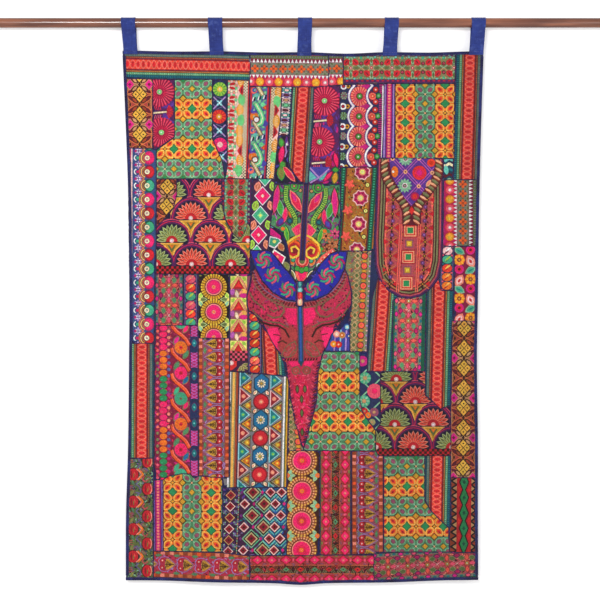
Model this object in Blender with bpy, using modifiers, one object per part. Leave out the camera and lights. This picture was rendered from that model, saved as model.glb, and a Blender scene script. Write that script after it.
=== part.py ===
"""A patchwork wall hanging on five cloth tabs over a round wooden rod.

Metres, +Z up. The origin is the middle of the rod, on its axis. X runs along the rod, and the patchwork
faces -Y. The panel hangs below the rod with the slightly waisted outline and the soft folds of a real one.
"""

import math
from collections import namedtuple

import bmesh
import bpy

# The rod
ROD_LENGTH = 1.800
ROD_DIAMETER = 0.028
ROD_SIDES = 48
ROD_END_CHAMFER = 0.0015

# Cloth thicknesses, and the gap that neighbouring pieces keep
PANEL_THICKNESS = 0.003
BINDING_THICKNESS = 0.001
TAB_THICKNESS = 0.0014
GAP = 0.0004

# The binding: how far it reaches over each face of the panel
BINDING_WIDTH = 0.014

# The tabs: their width, and how far each end is sewn down over the binding
TAB_WIDTH = 0.041
TAB_LAP = 0.011

# The panel's mesh, whose lines the binding follows
PANEL_COLUMNS = 28
PANEL_ROWS = 40
TAB_COLUMNS = 4
TAB_LEG_STEPS = 4
TAB_ARC_STEPS = 14

# Where each tab's middle is on the rod and at the panel, and the drop from the rod's axis to the panel there
Tab = namedtuple("Tab", "over_rod at_panel drop")
TABS = (
    Tab(-0.5050, -0.4995, 0.0805),
    Tab(-0.2540, -0.2500, 0.0830),
    Tab(0.0060, 0.0040, 0.0850),
    Tab(0.2565, 0.2515, 0.0850),
    Tab(0.5075, 0.5015, 0.0830),
)

# How far the top edge sags midway between one tab and the next
TOP_SAGS = (0.0010, 0.0015, 0.0040, 0.0020)

# The side edges, by the share of the way down
Side = namedtuple("Side", "down left right")
SIDES = (
    Side(0.00, -0.5220, 0.5220),
    Side(0.13, -0.5130, 0.5150),
    Side(0.28, -0.5050, 0.5090),
    Side(0.48, -0.5020, 0.5045),
    Side(0.58, -0.5030, 0.5020),
    Side(0.75, -0.5060, 0.5050),
    Side(0.88, -0.5120, 0.5050),
    Side(1.00, -0.5130, 0.5060),
)

# The hem's drop from the rod's axis, by the share of the way across
Hem = namedtuple("Hem", "across drop")
HEM = (
    Hem(0.00, 1.6135),
    Hem(0.21, 1.6165),
    Hem(0.42, 1.6215),
    Hem(0.50, 1.6265),
    Hem(0.57, 1.6220),
    Hem(0.78, 1.6180),
    Hem(0.92, 1.6120),
    Hem(1.00, 1.6105),
)

# Soft upright folds: each is a wave across the panel, with its depth at the top edge and at the hem
Fold = namedtuple("Fold", "wavelength phase at_top at_hem")
FOLDS = (
    Fold(0.610, 0.40, 0.0012, 0.0042),
    Fold(0.387, 2.30, 0.0010, 0.0030),
    Fold(0.252, 5.10, 0.0006, 0.0014),
)

# How far the middle of the panel stands forward of the line from the top edge to the hem
BELLY = 0.004

FRONT, BACK = -1, 1


def smooth(rows, at, column):
    """A column's value where the first column is at, on a curve through the rows."""
    i = next((n for n in range(1, len(rows) - 1) if at <= rows[n][0]), len(rows) - 1)
    first, last = rows[i - 1], rows[i]
    before, after = rows[max(i - 2, 0)], rows[min(i + 1, len(rows) - 1)]
    span = last[0] - first[0]
    t = (at - first[0]) / span
    a, b = first[column], last[column]
    slope_a = (b - before[column]) / (last[0] - before[0]) * span
    slope_b = (after[column] - a) / (after[0] - first[0]) * span
    return (
        a * (1 + 2 * t) * (1 - t) ** 2
        + slope_a * t * (1 - t) ** 2
        + b * t * t * (3 - 2 * t)
        + slope_b * t * t * (t - 1)
    )


def top_drop(x):
    """The top edge's drop below the rod's axis: level with each tab, and sagging a little between two."""
    i = next((n for n in range(1, len(TABS) - 1) if x <= TABS[n].at_panel), len(TABS) - 1)
    left, right = TABS[i - 1], TABS[i]
    t = min(max((x - left.at_panel) / (right.at_panel - left.at_panel), 0.0), 1.0)
    level = left.drop + (right.drop - left.drop) * t * t * (3 - 2 * t)
    return level + TOP_SAGS[i - 1] * math.sin(math.pi * t) ** 2


def fold_depth(x, down):
    """How far the cloth's middle layer stands behind the plane of the rod's axis."""
    waves = sum(
        (fold.at_top + (fold.at_hem - fold.at_top) * down) * math.sin(math.tau * x / fold.wavelength + fold.phase)
        for fold in FOLDS
    )
    return waves - BELLY * math.sin(math.pi * down)


def on_cloth(across, down, inset_x=0.0, inset_z=0.0, off=0.0):
    """A point by its share of the way across and down, moved in from the outline and off the middle layer."""
    left = smooth(SIDES, down, 1)
    right = smooth(SIDES, down, 2)
    x = left + (right - left) * across + inset_x
    top = top_drop(x)
    hem = smooth(HEM, across, 1)
    z = -(top + (hem - top) * down) + inset_z
    return x, fold_depth(x, down) + off, z


def material(name, colour, roughness):
    made = bpy.data.materials.new(name)
    made.use_nodes = True
    shader = made.node_tree.nodes["Principled BSDF"]
    shader.inputs["Base Color"].default_value = (*colour, 1.0)
    shader.inputs["Roughness"].default_value = roughness
    shader.inputs["Metallic"].default_value = 0.0
    return made


def cloth_from_grid(name, columns, rows, place, thickness, finish, collection):
    """A sheet: a grid whose points are put in place by their shares across and down, then given a thickness."""
    mesh = bpy.data.meshes.new(name)
    sheet = bmesh.new()
    bmesh.ops.create_grid(sheet, x_segments=columns, y_segments=rows, size=0.5)
    for vertex in sheet.verts:
        vertex.co = place(vertex.co.x + 0.5, 0.5 - vertex.co.y)
    sheet.to_mesh(mesh)
    sheet.free()
    mesh.shade_smooth()
    made = bpy.data.objects.new(name, mesh)
    collection.objects.link(made)
    mesh.materials.append(finish)
    solidify = made.modifiers.new("Thickness", "SOLIDIFY")
    solidify.thickness = thickness
    solidify.offset = 0.0
    solidify.use_even_offset = True
    return made


def make_panel(finish, collection):
    """The patchwork on its ground cloth, inside the binding's fold."""
    inset = BINDING_THICKNESS + GAP

    def place(across, down):
        return on_cloth(across, down, inset * (1 - 2 * across), inset * (2 * down - 1))

    return cloth_from_grid("panel", PANEL_COLUMNS, PANEL_ROWS, place, PANEL_THICKNESS, finish, collection)


def binding_place(side, along, wrap):
    """A point of the binding's middle layer. wrap runs from its front edge, round the fold, to its back edge."""
    off = PANEL_THICKNESS / 2 + GAP + BINDING_THICKNESS / 2
    in_from_edge = BINDING_WIDTH if wrap in (0, 3) else BINDING_THICKNESS / 2
    off = off * (FRONT if wrap < 2 else BACK)
    corner = BINDING_WIDTH + GAP
    if side == "left":
        return on_cloth(0.0, along, in_from_edge, corner * (2 * along - 1), off)
    if side == "right":
        return on_cloth(1.0, along, -in_from_edge, corner * (2 * along - 1), off)
    if side == "top":
        return on_cloth(along, 0.0, 0.0, -in_from_edge, off)
    return on_cloth(along, 1.0, 0.0, in_from_edge, off)


def make_binding(side, finish, collection):
    """One strip folded over an edge of the panel. The side strips run between the top and bottom ones."""
    steps = PANEL_COLUMNS if side in ("top", "bottom") else PANEL_ROWS

    def place(across, down):
        return binding_place(side, across, round(down * 3))

    return cloth_from_grid(f"binding_{side}", steps, 3, place, BINDING_THICKNESS, finish, collection)


def tab_path(drop):
    """The tab's middle layer as (y, z), from its front end, over the rod, to its back end."""
    radius = ROD_DIAMETER / 2 + GAP + TAB_THICKNESS / 2
    off = PANEL_THICKNESS / 2 + GAP + BINDING_THICKNESS + GAP + TAB_THICKNESS / 2
    below = math.atan2(-drop, -off) % math.tau
    touch = below - math.acos(radius / math.hypot(drop, off))
    start = (radius * math.cos(touch), radius * math.sin(touch))
    leg = [
        (-off + (start[0] + off) * step / TAB_LEG_STEPS, -drop + (start[1] + drop) * step / TAB_LEG_STEPS)
        for step in range(TAB_LEG_STEPS)
    ]
    front = [(-off, -drop - TAB_LAP), *leg]
    sweep = 2 * (touch - math.pi / 2)
    arc = [
        (radius * math.cos(touch - sweep * step / TAB_ARC_STEPS), radius * math.sin(touch - sweep * step / TAB_ARC_STEPS))
        for step in range(TAB_ARC_STEPS + 1)
    ]
    return [*front, *arc, *((-y, z) for y, z in reversed(front))]


def make_tab(number, tab, finish, collection):
    path = tab_path(tab.drop)

    def place(across, along):
        y, z = path[round(along * (len(path) - 1))]
        lowered = min(max(-z / tab.drop, 0.0), 1.0)
        middle = tab.over_rod + (tab.at_panel - tab.over_rod) * lowered
        x = middle + TAB_WIDTH * (across - 0.5)
        return x, y + fold_depth(x, 0.0) * lowered, z

    return cloth_from_grid(f"tab_{number}", TAB_COLUMNS, len(path) - 1, place, TAB_THICKNESS, finish, collection)


def make_rod(finish, collection):
    bpy.ops.mesh.primitive_cylinder_add(
        vertices=ROD_SIDES, radius=ROD_DIAMETER / 2, depth=ROD_LENGTH, rotation=(0.0, math.pi / 2, 0.0)
    )
    rod = bpy.context.object
    rod.name = rod.data.name = "rod"
    for home in list(rod.users_collection):
        home.objects.unlink(rod)
    collection.objects.link(rod)
    chamfer = rod.modifiers.new("End chamfer", "BEVEL")
    chamfer.width = ROD_END_CHAMFER
    chamfer.segments = 1
    chamfer.limit_method = "ANGLE"
    chamfer.angle_limit = math.radians(60)
    rod.data.shade_smooth()
    rod.data.set_sharp_from_angle(angle=math.radians(40))
    rod.data.materials.append(finish)
    return rod


def main():
    for old in list(bpy.data.objects):
        bpy.data.objects.remove(old)
    collection = bpy.data.collections.new("Patchwork wall hanging")
    bpy.context.scene.collection.children.link(collection)
    patchwork = material("Patchwork", (0.42, 0.12, 0.11), 0.85)
    blue_cotton = material("Blue cotton", (0.035, 0.045, 0.19), 0.85)
    wood = material("Varnished wood", (0.25, 0.10, 0.045), 0.35)
    make_rod(wood, collection)
    make_panel(patchwork, collection)
    for side in ("top", "bottom", "left", "right"):
        make_binding(side, blue_cotton, collection)
    for number, tab in enumerate(TABS, 1):
        make_tab(number, tab, blue_cotton, collection)


main()
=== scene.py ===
"""The look of a patchwork wall hanging: woven and stitched trims sewn side by side to a ground cloth.

The patchwork is laid out on squares of SQUARE metres. A place on it is (u, v): u counts to the right and v
down. Inside a patch, a runs along the trim and b across it, also in squares.
"""

import math
import random
from collections import namedtuple

import bpy
import numpy as np
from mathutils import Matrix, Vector


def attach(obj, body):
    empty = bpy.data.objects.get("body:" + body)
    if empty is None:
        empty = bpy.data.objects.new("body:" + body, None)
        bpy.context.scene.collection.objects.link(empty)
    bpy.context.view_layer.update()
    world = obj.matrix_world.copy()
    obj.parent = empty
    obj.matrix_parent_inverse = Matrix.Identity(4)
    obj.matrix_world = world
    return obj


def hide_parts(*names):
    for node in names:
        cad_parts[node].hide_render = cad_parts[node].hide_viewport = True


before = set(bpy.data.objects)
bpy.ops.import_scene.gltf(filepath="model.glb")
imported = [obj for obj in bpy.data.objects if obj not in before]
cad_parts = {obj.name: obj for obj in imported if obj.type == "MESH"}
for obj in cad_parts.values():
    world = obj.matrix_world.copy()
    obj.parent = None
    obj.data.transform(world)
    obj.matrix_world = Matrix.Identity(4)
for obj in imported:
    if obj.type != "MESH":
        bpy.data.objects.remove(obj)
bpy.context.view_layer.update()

# A square in metres, the place of the rod's middle on the layout, and the picture's middle and its width
SQUARE = 0.002894
MIDDLE_U = 303.0
AXIS_V = 22.9
CENTRE = 300
PICTURE_WIDTH = 600

# The solids' own sizes, which the pieces here follow
ROD_DIAMETER = 0.028
PANEL_THICKNESS = 0.003
BINDING_THICKNESS = 0.001
TAB_THICKNESS = 0.0014
GAP = 0.0004
BINDING_WIDTH = 0.014
VISIBLE_BINDING = 0.0090
TAB_WIDTH = 0.041
TAB_LAP = 0.011
TAB_LEG_STEPS = 4
TAB_ARC_STEPS = 14

Tab = namedtuple("Tab", "over_rod at_panel drop")
# Each tab's place across on the rod and at the panel, and the panel's drop below the rod's axis there
TABS = (
    Tab(-0.5050, -0.4995, 0.0805),
    Tab(-0.2540, -0.2500, 0.0830),
    Tab(0.0060, 0.0040, 0.0850),
    Tab(0.2565, 0.2515, 0.0850),
    Tab(0.5075, 0.5015, 0.0830),
)

# How far the top edge sags between the tabs
TOP_SAGS = (0.0010, 0.0015, 0.0040, 0.0020)

Side = namedtuple("Side", "down left right")
# The panel's left and right edges, by the share of the way down
SIDES = (
    Side(0.00, -0.5220, 0.5220),
    Side(0.13, -0.5130, 0.5150),
    Side(0.28, -0.5050, 0.5090),
    Side(0.48, -0.5020, 0.5045),
    Side(0.58, -0.5030, 0.5020),
    Side(0.75, -0.5060, 0.5050),
    Side(0.88, -0.5120, 0.5050),
    Side(1.00, -0.5130, 0.5060),
)

Hem = namedtuple("Hem", "across drop")
# The hem's drop below the rod's axis, by the share of the way across
HEM = (
    Hem(0.00, 1.6135),
    Hem(0.21, 1.6165),
    Hem(0.42, 1.6215),
    Hem(0.50, 1.6265),
    Hem(0.57, 1.6220),
    Hem(0.78, 1.6180),
    Hem(0.92, 1.6120),
    Hem(1.00, 1.6105),
)

# The cloth's folds, as in the solids: wavelength, phase, depth at the top edge and at the hem
FOLDS = ((0.610, 0.40, 0.0012, 0.0042), (0.387, 2.30, 0.0010, 0.0030), (0.252, 5.10, 0.0006, 0.0014))
BELLY = 0.004
PANEL_TOP, PANEL_HEM = 0.083, 1.617

# Small puckers that the sewing pulls: waves across and down, and their depth
PUCKERS = ((31.0, 17.0, 0.4, 0.00035), (-23.0, 41.0, 2.1, 0.00030), (57.0, -12.0, 4.0, 0.00022))

# Depths in metres: the ground cloth's front, the layers of thread on it, the seams and the patches' puff
GROUND_FRONT = 0.0010
GROUND_INSET = 0.0014
LAYER = 0.00024
SUNK = 0.00008
SEAM_DEPTH = 0.0007
PUFF = 0.0009

# In squares: how uneven the stitching is, the longest flat edge, the least areas that are drawn, how much
# nearer to its middle a shape counts for the puff, how far the puff reaches, and the ground cloth's cells
UNEVEN = 0.10
LONGEST = 6.0
LEAST_SHAPE, LEAST_CELL, LEAST_FACE = 0.02, 1e-3, 1e-4
SHAPE_EASE = 3.0
PUFF_REACH = 5.0
GRID = 2.6

# How dark the painted shade on a shape's rim is, how far its top is drawn in (in squares), and the most of
# its size that is
PAINTED_RIM_SHADE = 0.50
SOFT_RIM = 0.45
MOST_DRAWN = 0.42
# A stroke's rim as a share of its width, how far each length of it runs on in half widths, and a ray's rim
STROKE_RIM, STROKE_OVERLAP, RAY_RIM = 0.25, 0.4, 0.15

# How much lighter or darker one length of thread is, and how much its red, green and blue each differ
THREAD_SPREAD, DYE_SPREAD = 0.10, 0.06

# The cord round a patch, in squares: its radius, and how far apart its sections are
CORD_RADIUS = 0.70
CORD_STEP = 1.9
# How far it sways, how far out it lies in radii, and how much its colours differ
CORD_SWAY, CORD_OUT, CORD_SPREAD = 0.15, 0.7, 0.35
# The cord's section: how far out from its middle in radii, and its height in metres
CORD_SECTION = ((-1.0, -0.0004), (-0.7, 0.0009), (0.0, 0.0014), (0.7, 0.0009), (1.0, -0.0004))

# The cut lengths of the strips that bind the ground cloth
BINDING_LENGTHS = {"top": 1.04, "bottom": 1.04, "left": 1.50, "right": 1.50}

# The camera, the wall, the floor and the world's light, in metres and in plain light
CAMERA_AWAY = 4.1
WALL_PLACE, WALL_SIZE = (0, 0.030, -0.4), (7, 4.5, 1)
WALL_WHITE = (0.93, 0.93, 0.935, 1)
WALL_GLOW = 0.24
FLOOR_PLACE, FLOOR_SIZE = (0, 0, -1.75), (12, 12, 1)
FLOOR_WHITE = (0.82, 0.81, 0.8, 1)
WORLD_LIGHT = 0.60

Light = namedtuple("Light", "name place target wide tall power")
# A small key light that the varnish mirrors, and two broad soft lights
LIGHTS = (
    Light("key", (-0.8, -3.6, 0.15), (0, 0, -0.75), 1.2, 0.6, 66.0),
    Light("fill", (2.6, -3.6, -0.6), (0, 0, -0.8), 2.4, 2.4, 39.0),
    Light("back", (1.2, 3.2, 0.8), (0, 0, -0.8), 2.4, 2.4, 30.0),
)

PALETTE = {
    "navy": (30, 34, 92), "ink": (28, 20, 50), "night": (34, 44, 84), "blue": (40, 80, 160),
    "royal": (38, 36, 165), "indigo": (72, 62, 160), "violet": (95, 50, 150), "plum": (88, 28, 88),
    "purple": (118, 40, 122), "aubergine": (62, 24, 62), "wine": (128, 16, 58), "maroon": (96, 18, 36),
    "crimson": (205, 28, 42), "red": (228, 44, 42), "scarlet": (240, 62, 40), "flame": (214, 54, 16),
    "coral": (255, 108, 92), "rose": (236, 84, 112), "carmine": (226, 30, 76), "magenta": (205, 26, 122),
    "hot": (255, 30, 104), "salmon": (250, 140, 118), "peach": (252, 178, 134), "cream": (250, 228, 190),
    "white": (246, 240, 238), "blush": (250, 196, 190), "orange": (242, 118, 30), "amber": (250, 168, 44),
    "mustard": (214, 156, 40), "gold": (248, 206, 68), "lemon": (240, 232, 120), "olive": (134, 134, 62),
    "moss": (92, 108, 58), "lime": (160, 205, 70), "leaf": (72, 165, 58), "green": (38, 142, 82),
    "bottle": (18, 84, 62), "mint": (112, 214, 148), "sage": (136, 190, 150), "jade": (62, 170, 128),
    "teal": (22, 112, 122), "petrol": (14, 62, 88), "sea": (104, 196, 186), "sky": (150, 218, 228),
    "lilac": (176, 138, 200), "orchid": (190, 92, 176), "mauve": (148, 74, 98), "dusk": (110, 96, 140),
    "brown": (118, 62, 28), "umber": (58, 24, 18), "rust": (160, 66, 36), "copper": (192, 98, 58),
    "tan": (208, 152, 102), "sand": (196, 170, 120), "khaki": (150, 146, 100), "grey": (128, 124, 130),
    "black": (22, 14, 18), "rosewood": (188, 74, 84), "brick": (176, 60, 62), "apricot": (252, 184, 84),
    "fern": (82, 140, 98), "stone": (122, 124, 104), "ember": (250, 92, 76), "vermilion": (236, 86, 34),
    "fuchsia": (224, 30, 132), "slate": (92, 100, 160), "spring": (116, 216, 124), "cerise": (190, 22, 92),
    "clay": (214, 112, 62), "drab": (130, 126, 84), "denim": (50, 76, 124), "azure": (24, 104, 150),
    "garnet": (140, 20, 38), "celery": (176, 192, 128), "claret": (196, 44, 76), "honey": (240, 182, 68),
    "bark": (122, 96, 70), "smoke": (84, 112, 108), "ochre": (172, 102, 36), "stain": (88, 42, 26),
    "beech": (152, 90, 62), "binding": (38, 44, 104), "deep cotton": (34, 46, 112), "cotton": (44, 62, 138),
    "faded": (86, 104, 168),
}

# How much lighter or darker a patch's threads and ground are than the palette, where it isn't 1: partly its
# dye lot, partly painted light and shade, with most patches on the left lighter and most on the right darker
DYE_LOTS_AND_PAINTED_LIGHT = {
    "stars_right": 0.80, "chain_green": 0.70, "braid_right": 0.85, "trellis_right": 0.95,
    "lotuses_right": 0.72, "trellis_lower_right": 0.90, "crosses_bottom": 0.82, "drops_bottom": 0.92,
    "drops_right": 0.88, "crosses_right": 0.88, "scallop_flowers": 0.93, "yoke_round": 0.95,
    "braid_lower_right": 0.93,
    "circles_pink": 1.10, "braid_left": 1.10, "pearls": 1.15, "vine": 1.07, "stars_left": 1.15,
    "trellis_top": 1.20, "braid_top": 1.18, "crosses_top": 1.10, "crosses_green": 1.18,
    "circles_mustard": 1.20, "diamonds": 1.25, "leaf_vine": 1.06, "geometric": 1.05, "ikat": 1.07,
}


def linear(name):
    """A palette colour as linear light."""
    return tuple(((c / 255 + 0.055) / 1.055) ** 2.4 for c in PALETTE[name])


LINEAR = {name: linear(name) for name in PALETTE}


def smooth(rows, at, column):
    """A column's value where the first column is at, on a curve through the rows."""
    i = next((n for n in range(1, len(rows) - 1) if at <= rows[n][0]), len(rows) - 1)
    first, last = rows[i - 1], rows[i]
    before, after = rows[max(i - 2, 0)], rows[min(i + 1, len(rows) - 1)]
    span = last[0] - first[0]
    t = (at - first[0]) / span
    a, b = first[column], last[column]
    slope_a = (b - before[column]) / (last[0] - before[0]) * span
    slope_b = (after[column] - a) / (after[0] - first[0]) * span
    return (
        a * (1 + 2 * t) * (1 - t) ** 2
        + slope_a * t * (1 - t) ** 2
        + b * t * t * (3 - 2 * t)
        + slope_b * t * t * (t - 1)
    )


def between(p, q, t):
    """The point a share t of the way from p to q."""
    return p[0] + (q[0] - p[0]) * t, p[1] + (q[1] - p[1]) * t


def edges(points):
    """Each corner of an outline with the one after it."""
    return zip(points, points[1:] + points[:1], strict=True)


def runs(path):
    """Each point of an open path with the one after it."""
    return zip(path, path[1:], strict=False)


def top_drop(x):
    """The top edge's drop below the rod's axis."""
    i = next((n for n in range(1, len(TABS) - 1) if x <= TABS[n].at_panel), len(TABS) - 1)
    left, right = TABS[i - 1], TABS[i]
    t = min(max((x - left.at_panel) / (right.at_panel - left.at_panel), 0.0), 1.0)
    level = left.drop + (right.drop - left.drop) * t * t * (3 - 2 * t)
    return level + TOP_SAGS[i - 1] * math.sin(math.pi * t) ** 2


def fold_depth(x, down):
    """How far the cloth's middle stands behind the plane of the rod's axis."""
    depth = -BELLY * np.sin(math.pi * down)
    for length, phase, top, hem in FOLDS:
        depth = depth + (top + (hem - top) * down) * np.sin(math.tau * x / length + phase)
    return depth


def on_cloth(across, down, inset_x=0.0, inset_z=0.0, off=0.0):
    """A point by its share of the way across and down, moved in from the outline and off the middle layer."""
    left, right = smooth(SIDES, down, 1), smooth(SIDES, down, 2)
    x = left + (right - left) * across + inset_x
    top, hem = top_drop(x), smooth(HEM, across, 1)
    z = -(top + (hem - top) * down) + inset_z
    return x, float(fold_depth(x, down)) + off, z


def by_edge(side, along, inward, corner, off):
    """A point along one of the panel's edges: corner keeps it clear of the edge's ends."""
    if side in ("left", "right"):
        sign = 1 if side == "left" else -1
        return on_cloth(float(side == "right"), along, sign * inward, corner * (2 * along - 1), off)
    sign = 1 if side == "bottom" else -1
    return on_cloth(along, float(side == "bottom"), 0.0, sign * inward, off)


def tab_path(drop):
    """The tab's middle layer as (y, z), from its front end, over the rod, to its back end."""
    radius = ROD_DIAMETER / 2 + GAP + TAB_THICKNESS / 2
    off = PANEL_THICKNESS / 2 + GAP + BINDING_THICKNESS + GAP + TAB_THICKNESS / 2
    below = math.atan2(-drop, -off) % math.tau
    touch = below - math.acos(radius / math.hypot(drop, off))
    start = (radius * math.cos(touch), radius * math.sin(touch))
    leg = [between((-off, -drop), start, step / TAB_LEG_STEPS) for step in range(TAB_LEG_STEPS)]
    front = [(-off, -drop - TAB_LAP), *leg]
    sweep = 2 * (touch - math.pi / 2)
    turns = [touch - sweep * step / TAB_ARC_STEPS for step in range(TAB_ARC_STEPS + 1)]
    arc = [(radius * math.cos(turn), radius * math.sin(turn)) for turn in turns]
    return [*front, *arc, *((-y, z) for y, z in reversed(front))]


def cloth_depth(x, z):
    """The same as fold_depth, for a place on the cloth."""
    return fold_depth(x, np.clip((-z - PANEL_TOP) / (PANEL_HEM - PANEL_TOP), 0.0, 1.0))


def front_depth(x, z):
    """The front of the ground cloth, with its small puckers."""
    puckers = sum(depth * np.sin(kx * x + kz * z + phase) for kx, kz, phase, depth in PUCKERS)
    return cloth_depth(x, z) - GROUND_FRONT + puckers


# Plane shapes


def signed_area(points):
    """An outline's area, below zero when it runs the other way round."""
    return 0.5 * sum(p[0] * q[1] - q[0] * p[1] for p, q in edges(points))


def turned_right(points):
    """The outline, running the way that gives a positive area."""
    return points if signed_area(points) > 0 else points[::-1]


def is_convex(points):
    """Whether an outline that runs the right way has no hollow corner."""
    n = len(points)
    for i in range(n):
        (x0, y0), (x1, y1), (x2, y2) = points[i - 1], points[i], points[(i + 1) % n]
        if (x1 - x0) * (y2 - y1) - (y1 - y0) * (x2 - x1) < -1e-6:
            return False
    return True


def clip(subject, window):
    """The part of subject that lies in the convex window."""
    for i, (x0, y0) in enumerate(window):
        x1, y1 = window[(i + 1) % len(window)]
        ex, ey = x1 - x0, y1 - y0
        kept = []
        for j, (px, py) in enumerate(subject):
            qx, qy = subject[j - 1]
            side_p = ex * (py - y0) - ey * (px - x0)
            side_q = ex * (qy - y0) - ey * (qx - x0)
            if (side_p >= 0) != (side_q >= 0):
                t = side_q / (side_q - side_p)
                kept.append((qx + (px - qx) * t, qy + (py - qy) * t))
            if side_p >= 0:
                kept.append((px, py))
        subject = kept
        if len(subject) < 3:
            return []
    return subject


def holds(outline, point):
    """Whether the point is inside the outline."""
    x, y = point
    inside = False
    for i, (x0, y0) in enumerate(outline):
        x1, y1 = outline[i - 1]
        if (y0 > y) != (y1 > y) and x < (x1 - x0) * (y - y0) / (y1 - y0) + x0:
            inside = not inside
    return inside


def spun(points, a, b, degrees):
    """Points turned about the origin and moved to (a, b)."""
    c, s = math.cos(math.radians(degrees)), math.sin(math.radians(degrees))
    return [(a + x * c - y * s, b + x * s + y * c) for x, y in points]


# A pointed oval, by shares of its half length and half width
LENS = ((-1, 0), (-0.6, 0.66), (0, 1), (0.6, 0.66), (1, 0), (0.6, -0.66), (0, -1), (-0.6, -0.66))


def finely(points):
    """The outline with its long edges divided, so that it can follow the cloth."""
    fine = []
    for p, q in edges(points):
        count = max(1, math.ceil(math.dist(p, q) / LONGEST))
        fine += [between(p, q, i / count) for i in range(count)]
    return fine


def in_cells(points):
    """The outline's parts in the cells of a coarse grid."""
    us, vs = [p[0] for p in points], [p[1] for p in points]
    if max(us) - min(us) < LONGEST and max(vs) - min(vs) < LONGEST:
        return [points]
    parts = []
    for i in range(math.floor(min(us) / LONGEST), math.ceil(max(us) / LONGEST)):
        for j in range(math.floor(min(vs) / LONGEST), math.ceil(max(vs) / LONGEST)):
            u, v = i * LONGEST, j * LONGEST
            window = [(u, v), (u + LONGEST, v), (u + LONGEST, v + LONGEST), (u, v + LONGEST)]
            parts.append(clip(points, window))
    return [part for part in parts if len(part) > 2 and abs(signed_area(part)) > LEAST_CELL]


# How many sides a disc has, by the largest radius that takes them
DISC_SIDES = ((1.6, 7), (4, 10), (9, 14), (math.inf, 22))


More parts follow.
